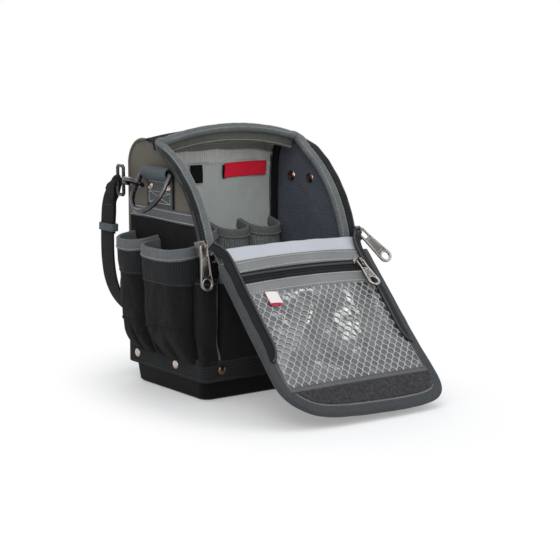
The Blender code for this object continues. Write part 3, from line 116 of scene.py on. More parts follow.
class Shader:
    """A Principled material with short calls for its nodes. Texture space is the UV map, in mm."""

    def __init__(self, name, roughness=0.6, metallic=0.0, **sockets):
        self.material = bpy.data.materials.new(name)
        self.material.use_nodes = True
        self.tree = self.material.node_tree
        self.principled = self.tree.nodes["Principled BSDF"]
        self.inputs = self.principled.inputs
        self.inputs["Roughness"].default_value = roughness
        self.inputs["Metallic"].default_value = metallic
        for socket, value in sockets.items():
            self.inputs[socket.replace("_", " ")].default_value = value
        self.uv = self.add("UVMap")
        self.place = self.add("TexCoord", None, "Object")

    def add(self, kind, sockets=None, out=0, **settings):
        return add_node(self.tree, kind, sockets, **settings).outputs[out]

    def maths(self, operation, first, second=None):
        sockets = {0: first} if second is None else {0: first, 1: second}
        return self.add("Math", sockets, operation=operation)

    def ridges(self, axis, width):
        """Rounded ridges of this width along an axis."""
        return self.maths("ABSOLUTE", self.maths("SINE", self.maths("MULTIPLY", axis, math.pi / width)))

    def noise(self, scale, detail=3.0, roughness=0.5):
        return self.add("TexNoise", {"Scale": scale, "Detail": detail, "Roughness": roughness,
                                     "Vector": self.place}, "Fac")

    def ramp(self, fac, low, high, out_low=0.0, out_high=1.0):
        return self.add("MapRange", {0: fac, 1: low, 2: high, 3: out_low, 4: out_high})

    def colour(self, fac, first, second):
        mixed = self.add("Mix", {"Factor": fac, "A": first, "B": second}, "Result", data_type="RGBA")
        self.tree.links.new(mixed, self.inputs["Base Color"])

    def roughen(self, fac, low, high, rough_low, rough_high):
        self.tree.links.new(self.ramp(fac, low, high, rough_low, rough_high), self.inputs["Roughness"])

    def bump(self, height, depth):
        bent = self.add("Bump", {"Strength": 1.0, "Distance": depth * MM, "Height": height})
        self.tree.links.new(bent, self.inputs["Normal"])


def shade(colour, factor):
    return tuple(min(c * factor, 1.0) for c in colour[:3]) + (1.0,)


def fabric(name, colour, size=1.0, depth=0.25, contrast=0.45, patches=0.12, rib=None, diagonal=False,
           ripstop=None, sheen=0.1, flecks=0.35, gloss=0.3):
    """Woven cloth: threads size mm wide, or ribs of rib mm along v; ripstop adds a wider grid."""
    shader = Shader(name, 0.85, Sheen_Weight=sheen, Sheen_Roughness=0.5, Specular_IOR_Level=gloss)
    maths, ridges = shader.maths, shader.ridges
    apart = add_node(shader.tree, "SeparateXYZ", {0: shader.uv}).outputs
    u, v = apart[0], apart[1]
    if rib:
        height = maths("ADD", maths("MULTIPLY", ridges(u, rib), 0.75), maths("MULTIPLY", ridges(v, size), 0.25))
    elif diagonal:
        width = size * 1.25
        across = ridges(maths("ADD", u, maths("MULTIPLY", v, 0.8)), width)
        thread = ridges(maths("SUBTRACT", v, maths("MULTIPLY", u, 0.8)), width)
        height = maths("MULTIPLY", across, maths("ADD", maths("MULTIPLY", thread, 0.5), 0.5))
    else:
        over = shader.add("TexChecker", {"Scale": 1 / size, "Vector": shader.uv}, "Fac")
        height = maths("ADD", maths("MULTIPLY", ridges(u, size), over),
                       maths("MULTIPLY", ridges(v, size), maths("SUBTRACT", 1.0, over)))
    if ripstop:
        grid = [shader.ramp(ridges(axis, ripstop), 0.1, 0.5, 1.0, 0.0) for axis in (u, v)]
        height = maths("ADD", maths("MULTIPLY", height, 0.5), maths("MAXIMUM", *grid))
    cloudy = shader.ramp(shader.noise(22.0, 4.0), 0.3, 0.7)
    body = shader.add("Mix", {"Factor": cloudy, "A": shade(colour, 1 - patches), "B": shade(colour, 1 + patches)},
                      "Result", data_type="RGBA")
    fleck = shader.ramp(shader.noise(420.0, 2.0, 0.7), 0.36, 0.64)
    woven = maths("MULTIPLY", shader.ramp(height, 0.0, 0.6), shader.ramp(fleck, 0.0, 1.0, 1 - flecks, 1.0))
    shader.colour(woven, shade(colour, 1 - contrast), body)
    shader.bump(maths("ADD", height, maths("MULTIPLY", fleck, 0.5)), depth)
    return shader.material


def plastic(name, colour, roughness=0.45, grain=0.05, gloss=0.4):
    shader = Shader(name, roughness, Specular_IOR_Level=gloss)
    speck = shader.noise(900.0)
    shader.colour(shader.ramp(shader.noise(30.0), 0.3, 0.7), shade(colour, 0.9), shade(colour, 1.1))
    shader.roughen(speck, 0.3, 0.7, roughness - 0.08, roughness + 0.1)
    shader.bump(speck, grain)
    return shader.material


def metal(name, colour, roughness, wear):
    shader = Shader(name, roughness, 1.0)
    shader.colour(shader.ramp(shader.noise(60.0, 1.0), 0.2, 0.8), colour, wear)
    shader.roughen(shader.noise(250.0, 1.0), 0.2, 0.8, roughness - 0.02, roughness + 0.04)
    shader.bump(shader.noise(700.0, 1.0), 0.0015)
    return shader.material


def film_material():
    shader = Shader("clear_film", 0.14, Specular_IOR_Level=0.6, Coat_Weight=0.5, Coat_Roughness=0.06)
    large = shader.noise(26.0, 2.0)
    both = shader.maths("ADD", large, shader.maths("MULTIPLY", shader.noise(120.0, 2.0), 0.25))
    shader.colour(shader.ramp(large, 0.35, 0.65), srgb(62, 63, 67), srgb(100, 102, 106))
    shader.bump(both, 1.6)
    return shader.material


def pile_material():
    shader = Shader("loop_pile", 0.95, Sheen_Weight=0.15, Sheen_Roughness=0.6, Specular_IOR_Level=0.1)
    fine = shader.maths("MULTIPLY", shader.noise(1500.0), 0.6)
    mixed = shader.maths("ADD", fine, shader.maths("MULTIPLY", shader.noise(330.0), 0.5))
    shader.colour(shader.ramp(mixed, 0.42, 0.7), srgb(20, 20, 23), srgb(62, 60, 66))
    shader.bump(mixed, 1.1)
    return shader.material


DULL = {"sheen": 0.03, "gloss": 0.12}
BLACK = fabric("black_rough_nylon", srgb(29, 29, 31), 1.9, 0.4, 0.75, diagonal=True, flecks=0.6, **DULL)
BLACK_RIB = fabric("black_ribbed_webbing", srgb(40, 41, 42), 1.6, 0.5, 0.75, rib=3.0, **DULL)
BLACK_SOFT = fabric("black_nylon", srgb(22, 22, 24), 1.2, 0.2, 0.4, **DULL)
TAUPE = fabric("taupe_nylon", srgb(104, 98, 88), 1.1, 0.16, 0.25, 0.08, flecks=0.3)
GREY_RIM = fabric("rim_binding_cloth", srgb(106, 111, 112), 1.9, 0.4, 0.5, flecks=0.6, diagonal=True)
GREY_DARK = fabric("grey_pocket_binding", srgb(98, 102, 104), 1.4, 0.28, 0.4, rib=2.2, flecks=0.55)
TAB_GREY = fabric("grey_webbing", srgb(80, 88, 92), 3.3, 0.5, 0.5, rib=1.4)
BAND_GREY = fabric("side_band_grey", srgb(98, 100, 102), 1.4, 0.22, 0.35)
LINER = fabric("rear_liner_grey", srgb(192, 198, 194), 2.0, 0.2, 0.2, 0.07, flecks=0.3, rib=2.4)
# Header band cloth, written far lighter than its own tone to cancel the shadow the crown casts on it: painted light
LINER_HEADER_LIT = fabric("liner_header_cloth_painted_light", srgb(216, 216, 211), 1.6, 0.25, 0.3, flecks=0.4, rib=2.4)
RIPSTOP = fabric("blue_grey_ripstop", srgb(84, 92, 103), 0.9, 0.22, 0.45, 0.08, ripstop=4.2)
HEADER = fabric("olive_header", srgb(146, 147, 137), 1.4, 0.25, 0.35, flecks=0.5)
FACING = fabric("olive_facing", srgb(96, 97, 90), 1.4, 0.25, 0.45, flecks=0.5)
TOOL_RIB = fabric("tool_pocket_ribbed", srgb(126, 131, 127), 1.4, 0.7, 0.75, rib=2.9)
TOOL_LIP = fabric("tool_pocket_lip", srgb(110, 115, 114), 1.4, 0.28, 0.35, flecks=0.5)
PALE = fabric("pale_fold", srgb(186, 190, 197), 0.9, 0.1, 0.1, 0.04, flecks=0.2)
STRIP = fabric("grey_strip", srgb(132, 135, 135), 1.2, 0.2, 0.25, flecks=0.4)
EDGE = fabric("flap_binding", srgb(69, 72, 75), 1.5, 0.3, 0.45, flecks=0.55, gloss=0.2)
TAPE = fabric("zip_tape_cloth", srgb(32, 33, 34), 1.4, 0.3, 0.5, rib=1.6, sheen=0.03, gloss=0.15)
COIL = plastic("zip_coil", srgb(40, 41, 43), 0.35, gloss=0.35)
BASE = plastic("moulded_plastic", srgb(8, 8, 9), 0.6, 0.08, 0.12)
BOARD = plastic("floor_board_plastic", srgb(34, 34, 36), 0.6)
GUN = metal("gunmetal", srgb(96, 93, 92), 0.27, srgb(122, 118, 116))
GUN_BRIGHT = metal("gunmetal_edge", srgb(148, 144, 141), 0.24, srgb(172, 168, 164))
GUN_DARK = metal("dark_gunmetal", srgb(64, 62, 66), 0.22, srgb(92, 90, 94))
RIVET = metal("rivet_copper_nickel", srgb(178, 162, 154), 0.26, srgb(198, 184, 176))
# Dark bronze for the rivets' inner caps; on the front foot rivets it is a darker copy of the rivet metal that paints
# the shade of their dark viewing angle
CAP_AND_SHADED_RIVET = metal("rivet_cap_bronze_and_painted_shade", srgb(84, 62, 54), 0.24, srgb(116, 90, 80))
THREAD_PALE = fabric("pale_thread", srgb(206, 208, 205), 0.3, 0.05, 0.15, sheen=0.0, flecks=0.1)
THREAD_MID = fabric("grey_thread", srgb(158, 160, 158), 0.3, 0.05, 0.15, sheen=0.0, flecks=0.1)
THREAD_DARK = fabric("dark_thread", srgb(88, 90, 89), 0.3, 0.05, 0.2, sheen=0.0, flecks=0.1)
LABEL = fabric("red_label", srgb(250, 30, 62), 0.7, 0.08, 0.15, 0.04, flecks=0.2)
TAG_WHITE = fabric("white_tag", srgb(226, 222, 220), 0.7, 0.06, 0.1, 0.04, flecks=0.2)
STRAP = fabric("strap_webbing_cloth", srgb(26, 27, 28), 2.6, 0.4, 0.6, rib=1.5, sheen=0.03, gloss=0.15)
FILM = film_material()
NET = plastic("net_thread", srgb(168, 169, 167), 0.35, 0.02)
PILE = pile_material()

SLOTS = {"black_nylon": (BLACK, BLACK_RIB, BLACK_SOFT), "taupe_nylon": (TAUPE, EDGE), "pale_fabric": (PALE,),
         "grey_trim": (GREY_RIM, GREY_DARK, TAB_GREY, BAND_GREY, TOOL_RIB, TOOL_LIP, STRIP, TAG_WHITE),
         "grey_liner": (LINER, LINER_HEADER_LIT, RIPSTOP, HEADER, FACING), "zip_tape": (TAPE, COIL),
         "clear_mesh": (FILM, NET), "loop_pile": (PILE,), "label_red": (LABEL,), "strap_web": (STRAP,),
         "gunmetal": (GUN_BRIGHT,), "rivet_metal": (RIVET, CAP_AND_SHADED_RIVET)}
SLOT_OF = {material.name: slot for slot, materials in SLOTS.items() for material in materials}


# Shared curves
def arch(theta, rho):
    return ARCH_Y + rho * math.cos(theta), ARCH_Z + rho * math.sin(theta)


def wrinkle(x, y, z, size, amount):
    """Soft smooth unevenness, always the same for the same place."""
    return noise.noise(Vector((x / size, y / size, z / size))) * amount


def smoothstep(low, high, value):
    t = min(max((value - low) / (high - low), 0.0), 1.0)
    return t * t * (3 - 2 * t)


def near_ends(share, reach):
    """0 at both ends of a share from 0 to 1, and 1 further than reach from either end."""
    return min(smoothstep(0, reach, share), smoothstep(0, reach, 1 - share))


def follow(points, at):
    """The place on a list of points at a fractional index."""
    k = min(int(at), len(points) - 2)
    f = at - k
    return tuple(a * (1 - f) + b * f for a, b in zip(points[k], points[k + 1]))


def resample(path, step):
    """Points every step mm along a polyline."""
    path = [Vector(p) for p in path]
    lengths = [0.0]
    for a, b in zip(path, path[1:]):
        lengths.append(lengths[-1] + (b - a).length)
    count = max(int(round(lengths[-1] / step)), 1)
    out = []
    index = 0
    for k in range(count + 1):
        target = lengths[-1] * k / count
        while index < len(path) - 2 and lengths[index + 1] < target:
            index += 1
        span = lengths[index + 1] - lengths[index]
        out.append(path[index].lerp(path[index + 1], 0.0 if span < 1e-9 else (target - lengths[index]) / span))
    return out


def smooth_path(points, step=1.5):
    """A Catmull-Rom curve through the points."""
    points = [Vector(p) for p in points]
    ends = [points[0] * 2 - points[1]] + points + [points[-1] * 2 - points[-2]]
    out = []
    for a, b, c, d in zip(ends, ends[1:], ends[2:], ends[3:]):
        for k in range(8):
            t = k / 8
            out.append(0.5 * ((2 * b) + (c - a) * t + (2 * a - 5 * b + 4 * c - d) * t * t
                              + (3 * b - a - 3 * c + d) * t ** 3))
    return resample(out + [points[-1]], step)


def tangent_at(path, k, span=1):
    return (path[min(k + span, len(path) - 1)] - path[max(k - span, 0)]).normalized()


def round_section(width, height, corner=None, steps=3):
    """A rounded rectangle section centred on the path."""
    corner = min(width, height) / 2 * 0.98 if corner is None else corner
    points = []
    for cx, cy, start in ((1, 1, 0), (-1, 1, 1), (-1, -1, 2), (1, -1, 3)):
        for step in range(steps + 1):
            turn = (start + step / steps) * math.pi / 2
            points.append((cx * (width / 2 - corner) + corner * math.cos(turn),
                           cy * (height / 2 - corner) + corner * math.sin(turn)))
    return points


def arc_points(centre_u, centre_v, radius, start, end, steps=8):
    turns = [math.radians(start + (end - start) * k / steps) for k in range(steps + 1)]
    return [(centre_u + radius * math.cos(a), centre_v + radius * math.sin(a)) for a in turns]


# Mesh building
def ring_faces(base, size, rings):
    """Quads between rings of size points that follow each other from base on."""
    return [(base + i * size + k, base + i * size + (k + 1) % size,
             base + (i + 1) * size + (k + 1) % size, base + (i + 1) * size + k)
            for i in range(rings - 1) for k in range(size)]


def finish_mesh(name, verts, faces, uvs, material, body="bag", nodes=()):
    """The object of a mesh; it rides a body and stands for CAD nodes, or on_flap cuts it later."""
    mesh = bpy.data.meshes.new(name)
    mesh.from_pydata([tuple(c * MM for c in v) for v in verts], [], faces)
    layer = mesh.uv_layers.new(name="UVMap")
    for loop in mesh.loops:
        layer.data[loop.index].uv = uvs[loop.vertex_index]
    mesh.materials.append(material)
    work = bmesh.new()
    work.from_mesh(mesh)
    bmesh.ops.recalc_face_normals(work, faces=work.faces)
    work.to_mesh(mesh)
    work.free()
    for polygon in mesh.polygons:
        polygon.use_smooth = True
    piece = bpy.data.objects.new(name, mesh)
    bpy.context.scene.collection.objects.link(piece)
    if body:
        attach(piece, body)
    if nodes:
        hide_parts(*nodes)
    return piece


def thick_sheet(name, point, nu, nv, thickness, material, body="bag", nodes=()):
    """A closed cloth of two skins. point(s, t) gives the outer skin; the other lies thickness behind."""
    grid = [[Vector(point(i / nu, j / nv)) for j in range(nv + 1)] for i in range(nu + 1)]
    verts = [place for line in grid for place in line]
    uvs = []
    across = 0.0
    for i, line in enumerate(grid):
        if i:
            across += (line[nv // 2] - grid[i - 1][nv // 2]).length
        run = 0.0
        for j, place in enumerate(line):
            if j:
                run += (place - line[j - 1]).length
            uvs.append((across, run))
    count = len(verts)
    for i in range(nu + 1):
        for j in range(nv + 1):
            du = grid[min(i + 1, nu)][j] - grid[max(i - 1, 0)][j]
            dv = grid[i][min(j + 1, nv)] - grid[i][max(j - 1, 0)]
            normal = du.cross(dv)
            if normal.length < 1e-9:
                normal = Vector((0, 0, 1))
            verts.append(grid[i][j] - normal.normalized() * thickness)

    def at(i, j):
        return i * (nv + 1) + j

    faces = []
    for i in range(nu):
        for j in range(nv):
            quad = (at(i, j), at(i + 1, j), at(i + 1, j + 1), at(i, j + 1))
            faces += [quad, tuple(count + k for k in reversed(quad))]
    edge = [at(i, 0) for i in range(nu)] + [at(nu, j) for j in range(nv)]
    edge += [at(i, nv) for i in range(nu, 0, -1)] + [at(0, j) for j in range(nv, 0, -1)]
    faces += [(a, count + a, count + b, b) for a, b in zip(edge, edge[1:] + edge[:1])]
    return finish_mesh(name, verts, faces, uvs * 2, material, body, nodes)


def sweep(name, path, widths, section, material, body="bag", closed=False, scale=None, nodes=()):
    """A section of (along width, along normal) points carried along a path; widths are directions."""
    path = [Vector(p) for p in path]
    count, size = len(path), len(section)
    if isinstance(widths, (tuple, Vector)):
        widths = [Vector(widths)] * count
    around = [0.0]
    for a, b in zip(section, section[1:]):
        around.append(around[-1] + math.dist(a, b))
    verts, uvs = [], []
    run = 0.0
    for i, point in enumerate(path):
        before = path[i - 1] if i or closed else point
        after = path[(i + 1) % count] if i < count - 1 or closed else point
        tangent = (after - before).normalized()
        width = (widths[i] - tangent * widths[i].dot(tangent)).normalized()
        normal = tangent.cross(width)
        if i:
            run += (point - path[i - 1]).length
        grow = scale(i, run) if scale else 1.0
        grow = grow if isinstance(grow, tuple) else (grow, grow)
        for k, (a, b) in enumerate(section):
            verts.append(point + width * a * grow[0] + normal * b * grow[1])
            uvs.append((around[k], run))
    faces = ring_faces(0, size, count)
    if closed:
        last = (count - 1) * size
        faces += [(last + k, last + (k + 1) % size, (k + 1) % size, k) for k in range(size)]
    else:
        faces += [tuple(range(size - 1, -1, -1)), tuple((count - 1) * size + k for k in range(size))]
    return finish_mesh(name, verts, faces, uvs, material, body, nodes)


def beads(thick, thin):
    """A scale for sweep that makes a chain of beads, for the coil of a zip."""
    return lambda i, run: thick if i % 2 else thin


def stitches(name, runs, material, length, pitch, radius, body="bag"):
    """Raised thread stitches along runs of (path, normal) pairs."""
    verts, faces, uvs = [], [], []
    for path, normal in runs:
        points = resample(path, pitch)
        for a, b in zip(points, points[1:]):
            along = b - a
            if along.length < 1e-6:
                continue
            along.normalize()
            side = along.cross(Vector(normal)).normalized()
            up = side.cross(along).normalized()
            middle = (a + b) / 2
            base = len(verts)
            for where, high in ((-0.5, -0.6), (-0.25, 0.55), (0.25, 0.55), (0.5, -0.6)):
                for angle in (0.25, 0.75, 1.25, 1.75):
                    turn = angle * math.pi
                    verts.append(middle + along * length * where + side * radius * math.cos(turn) * 1.15
                                 + up * radius * (math.sin(turn) * 0.8 + high))
                    uvs.append((where * length, angle))
            faces += ring_faces(base, 4, 4)
            faces += [(base + 3, base + 2, base + 1, base), (base + 12, base + 13, base + 14, base + 15)]
    return finish_mesh(name, verts, faces, uvs, material, body)


# Camera, floor and light
def link_object(name, data):
    thing = bpy.data.objects.new(name, data)
    bpy.context.scene.collection.objects.link(thing)
    return thing


AZIMUTH, PITCH = math.radians(36.3), math.radians(9.2)
look = Vector((math.sin(AZIMUTH) * math.cos(PITCH), math.cos(AZIMUTH) * math.cos(PITCH), -math.sin(PITCH)))
camera = link_object("camera", bpy.data.cameras.new("camera"))
camera.data.sensor_width = 36.0
camera.data.lens = 36.0 * 1620 / 560
camera.data.clip_end = 20.0
camera.location = Vector((-957.7, -1378.1, 377.5)) * MM
camera.rotation_euler = look.to_track_quat("-Z", "Y").to_euler()
bpy.context.scene.camera = camera
bpy.context.scene.view_settings.view_transform = "Standard"


def seen_white(tree):
    """A white glow, and the share of camera, glossy and transmission rays that it is for."""
    rays = add_node(tree, "LightPath").outputs
    total = rays["Is Camera Ray"]
    for kind in ("Is Glossy Ray", "Is Transmission Ray"):
        total = add_node(tree, "Math", {0: total, 1: rays[kind]}, operation="MAXIMUM").outputs[0]
    return add_node(tree, "Emission", {"Strength": 1.0}).outputs[0], total


def floor_material():
    """Pale and lit under the bag, where its shadow falls, and white further out."""
    shader = Shader("floor", 0.8, Specular_IOR_Level=0.1)
    shader.inputs["Base Color"].default_value = (0.9, 0.9, 0.9, 1)
    glow, share = seen_white(shader.tree)
    footprint = shader.add("Mapping", {"Vector": shader.place, "Location": (0.0, 0.39, 0.0),
                                       "Scale": (8.3, 5.6, 1.0)})
    away = shader.add("VectorMath", {0: footprint}, "Value", operation="LENGTH")
    far = shader.add("MapRange", {"Value": away, "From Min": 1.0, "From Max": 1.75, "To Min": 0.25},
                     interpolation_type="SMOOTHSTEP")
    mixed = shader.add("MixShader", {0: shader.maths("MULTIPLY", far, share), 1: shader.principled.outputs[0],
                                     2: glow})
    shader.tree.links.new(mixed, shader.tree.nodes["Material Output"].inputs["Surface"])
    return shader.material


floor_build = bmesh.new()
bmesh.ops.create_grid(floor_build, x_segments=1, y_segments=1, size=9.0)
floor = link_object("floor", bpy.data.meshes.new("floor"))
floor_build.to_mesh(floor.data)
floor_build.free()
floor.location.z = -0.0006
floor.data.materials.append(floor_material())
floor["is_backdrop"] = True

world = bpy.data.worlds.new("studio")
bpy.context.scene.world = world
world.use_nodes = True
background = world.node_tree.nodes["Background"]
background.inputs["Color"].default_value = (0.95, 0.97, 1.0, 1)
background.inputs["Strength"].default_value = 0.62
white, share = seen_white(world.node_tree)
mixer = add_node(world.node_tree, "MixShader", {0: share, 1: background.outputs[0], 2: white})
world.node_tree.links.new(mixer.outputs[0], world.node_tree.nodes["World Output"].inputs["Surface"])

GLINT_AT = Vector((-0.025, -0.150, 0.080))
for name, place, target, size, power in (
        ("key", (-1.1, -0.9, 1.7), (0, 0, 0.12), (1.0, 1.0), 8), ("top", (0.2, -0.3, 2.0), (0, 0, 0.1), (1.4, 1.4), 8),
        ("fill", (1.6, -1.6, 1.0), (0, 0, 0.12), (1.4, 1.4), 4), ("back", (0.6, 1.6, 1.4), (0, 0, 0.15), (1.2, 0.9), 6),
        ("front", (-0.9, -1.6, 0.9), (0, 0, 0.15), (0.9, 0.9), 7),
        ("glint", GLINT_AT + Vector((0.584, -0.20, 0.785)) * 1.5, GLINT_AT, (0.06, 0.22), 0.8)):
    light = link_object(name, bpy.data.lights.new(name, "AREA"))
    light.data.shape = "RECTANGLE"
    light.data.size, light.data.size_y = size
    light.data.energy = power
    light.location = place
    light.rotation_euler = (Vector(target) - Vector(place)).to_track_quat("-Z", "Y").to_euler()


# Rigid CAD parts that keep their shape
def recolour(node, material):
    piece = frame["nodes"][node]
    piece = piece if hasattr(piece, "data") else bpy.data.objects[node]
    for slot in piece.material_slots:
        slot.material = material
    if not piece.material_slots:
        piece.data.materials.append(material)


for node, material in (("base_tray", BASE), ("floor_board", BOARD), ("pocket_slider", GUN), ("pocket_pull", GUN),
                       ("strap_glide", BOARD)):
    recolour(node, material)
for side, _ in SIDES:
    for kind, material in (("slider", GUN), ("pull", GUN), ("swivel_eye", GUN_DARK), ("snap_hook", GUN_DARK),
                           ("gate", GUN_DARK), ("d_ring", GUN_DARK)):
        recolour(f"{kind}_{side}", material)
    for end in ("front", "rear"):
        recolour(f"tab_rivet_{side}_{end}", RIVET)


# Body cloth
def front_depth(z):
    """The front panel leans out a little from its foot."""
    return 71 + 4 * (z - 24) / 122.5


def arch_front(z, rho=136.0):
    return ARCH_Y - math.sqrt(max(rho * rho - (z - ARCH_Z) ** 2, 0.0))


# The round turn from the top into the back
TURN_Y, TURN_Z, TURN_RADIUS = 38.5, 227.4, 27.5


def panel_back(z, inset):
    if z < TURN_Z:
        return TURN_Y + TURN_RADIUS - inset
    return TURN_Y + math.sqrt(max((TURN_RADIUS - inset) ** 2 - (z - TURN_Z) ** 2, 0.0))


def side_skin(name, sign, low, high, x, thickness, material, columns, rows, puff=0.8, rho=136.0, inset=0.0,
              nodes=()):
    outward = not inset

    def point(s, t):
        z = low + (high - low) * t
        forward = s if (sign > 0) == outward else 1 - s
        y0, y1 = arch_front(z, rho) if z >= 146.5 else 0.6 - front_depth(z), panel_back(z, inset)
        y = y0 + (y1 - y0) * forward
        swell = near_ends(forward, 0.12) * (wrinkle(sign * 300 + y * 0.4, y, z, 34, puff)
                                            + wrinkle(y, z, sign * 50, 13, puff * 0.35))
        return (sign * (x + swell if outward else x - max(swell, -0.5)), y, z)
    thick_sheet(name, point, columns, rows, thickness, material, nodes=nodes)


for side, sign in SIDES:
    side_skin(f"side_black_{side}", sign, 22, 175.8, 90, 1.3, BLACK, 48, 60, nodes=(f"side_lower_{side}",))
    side_skin(f"side_taupe_{side}", sign, 186.5, 254.7, 90.1, 1.3, TAUPE, 44, 34, 0.6,
              nodes=(f"side_upper_{side}",))
    side_skin(f"side_lining_{side}", sign, 24.5, 252.5, 87.0, 1.2, RIPSTOP, 50, 80, 2.4, 135.0, 3.5)

    def band_point(s, t, sign=sign):
        z = 174.6 + 13.4 * t
        y0 = arch_front(z) + 1.0
        y = y0 + (66.4 - y0) * (s if sign > 0 else 1 - s)
        lift = 1.25 * near_ends(t, 0.1) + wrinkle(y, z, sign * 9, 12, 0.25)
        return (sign * (90.2 + lift), y, z + 0.5 * math.sin(y / 23.0))
    thick_sheet(f"side_band_{side}", band_point, 60, 10, 1.2, BAND_GREY)
    for index, row in enumerate((177.0, 185.6)):
        run = [(sign * 91.55, y, row + 0.5 * math.sin(y / 23.0)) for y in range(-58, 66, 2)]
        stitches(f"side_band_stitch_{side}_{index}", [(run, (sign, 0, 0))], THREAD_PALE, 2.0, 3.0, 0.34)


def front_point(s, t):
    x, z = -89.0 + 178.0 * s, 23 + 124.5 * t
    round_corner = 3.5 * (1 - near_ends(s, 0.035))
    return (x, round_corner - front_depth(z) - wrinkle(x, 5, z, 30, 0.9) * near_ends(s, 0.08), z)


def front_lining_point(s, t):
    z = 23 + 123 * t
    return (87 - 174 * s, 4.2 - front_depth(z) + wrinkle(s * 170, 40, t * 120, 30, 1.0), z)


def back_point(s, t):
    x, z = 89.5 - 179.0 * s, 22 + 205 * t
    round_corner = 3.0 * (1 - near_ends(s, 0.03))
    return (x, 66.0 - round_corner + wrinkle(x, 80, z, 33, 0.9) * near_ends(s, 0.08), z)


thick_sheet("front_cloth", front_point, 70, 46, 1.5, BLACK, nodes=("front_panel",))
thick_sheet("front_lining", front_lining_point, 60, 40, 1.0, RIPSTOP)
thick_sheet("back_cloth", back_point, 70, 70, 1.4, BLACK, nodes=("back_panel",))

# Crown of the opening: the top cloth runs from the rim over the top and down into the back
CROWN_HEIGHT, CROWN_HALF = 16.5, 93.0
CORNER = math.radians(110.3)
TOP_LINE = [(arch(CORNER, 136.5)[0] + 1.5, 250.2), (24, 253.2), (33, 254.9), (40, 254.9), (47, 253.6), (53.5, 250.6),
            (59.0, 245.9), (63.0, 240.0), (65.4, 233.5), (66.0, 226.5)]
TOP_TURN = 5 / 9


def crown(x):
    return CROWN_HEIGHT * max(1 - (x / CROWN_HALF) ** 2, 0.0) ** 0.85


def crumples(piece):
    """Gives the piece a mesh of its own."""
    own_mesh(piece)


def top_sheet(name, start, end, rows, thickness, material, drop=0.0, nodes=()):
    """The top cloth, or with a drop its lining, between two shares of the line over the top."""
    def point(s, t):
        s, t = 1 - s if drop else s, start + (end - start) * t
        x = -90.0 + 180.0 * s
        y, z = follow(TOP_LINE, t * (len(TOP_LINE) - 1))
        out = Vector((0, y - TURN_Y, z - TURN_Z)).normalized() if y > 20 else Vector((0, -0.25, 0.97))
        lift = crown(x) * (1 - smoothstep(0.0, 0.5, t)) * 0.9 + wrinkle(x, y, z, 26, 0.6)
        return Vector((x * (1 - drop / 90.0), y, z + lift)) - out * drop
    return thick_sheet(name, point, 60, rows, thickness, material, nodes=nodes)


crumples(top_sheet("top_cloth", 0.0, TOP_TURN, 18, 1.3, BLACK, nodes=("top_panel", "hook_strip")))
top_sheet("top_turn", TOP_TURN, 1.0, 14, 1.3, BLACK)
crumples(top_sheet("top_lining", 0.0, TOP_TURN, 18, 1.0, LINER, 3.0))
top_sheet("top_turn_lining", TOP_TURN, 1.0, 14, 1.0, LINER, 3.0)

# Taupe piping where the side meets the back and the top
PIPING_OUT, PIPING_STRAIGHT = 27.9, 0.72
for side, sign in SIDES:
    piping = []
    for k in range(61):
        t = k / 60
        turn = (t - PIPING_STRAIGHT) / (1 - PIPING_STRAIGHT) * math.radians(98)
        if t < PIPING_STRAIGHT:
            piping.append((sign * 90.4, 66.2, 24 + (TURN_Z - 24) * t / PIPING_STRAIGHT))
        else:
            piping.append((sign * 90.4, TURN_Y + PIPING_OUT * math.cos(turn), TURN_Z + PIPING_OUT * math.sin(turn)))
    sweep(f"side_piping_{side}", resample(piping, 3), (sign, 0, 0), round_section(3.2, 2.4), TAUPE)

# Padded rim along one line, in three lengths: up the arch's left side, over the crown, down the right side
RIM_RHO, RIM_X, RIM_CORNER_X, RIM_STEP = 136.9, 84.4, 84.6, 1.6
left = []
for k in range(90):
    degrees = 167.2 + (111.9 - 167.2) * k / 89
    y, z = arch(math.radians(degrees), RIM_RHO)
    out = smoothstep(122.0, 112.5, degrees)
    left.append(Vector((-RIM_X - 2.6 * out, y + 2.0 * out, z + 3.2 * smoothstep(121.0, 111.5, degrees))))
y, z = arch(CORNER, RIM_RHO)
over = [Vector((x, y + 1.2 * smoothstep(66, 80, abs(x)), z + crown(x))) for x in range(-79, 80, 2)]
ends = [Vector((x, y + 1.4, z + crown(84.0) + 0.3)) for x in (-RIM_CORNER_X, RIM_CORNER_X)]
rim_points = resample(left + ends[:1] + over + ends[1:] + [Vector((-p.x, p.y, p.z)) for p in reversed(left)],
                      RIM_STEP)
rim_widths, rim_normals = [], []
for k, p in enumerate(rim_points):
    radial = Vector((0, p.y - ARCH_Y, p.z - ARCH_Z)).normalized()
    radial = (radial + Vector((0, -0.5, 0)) * smoothstep(84, 66, abs(p.x))).normalized()
    rim_widths.append(radial.cross(tangent_at(rim_points, k, 3)).normalized())
    rim_normals.append(radial)


def rim_size(i):
    p, run = rim_points[i], i * RIM_STEP
    fold = math.exp(-((abs(p.x) - RIM_CORNER_X) / 2.6) ** 2) * (1 if p.z > 246 else 0)
    pucker = wrinkle(run, 20, 3, 5, 0.05) + wrinkle(run, 7, 3, 17, 0.06)
    return ((1 + pucker) * (1 - 0.22 * smoothstep(86, 70, abs(p.x))) * (1 + 0.06 * fold),
            (1 + wrinkle(run, 20, 33, 4.5, 0.16) + wrinkle(run, 3, 33, 15, 0.12)) * (1 + 0.3 * fold))


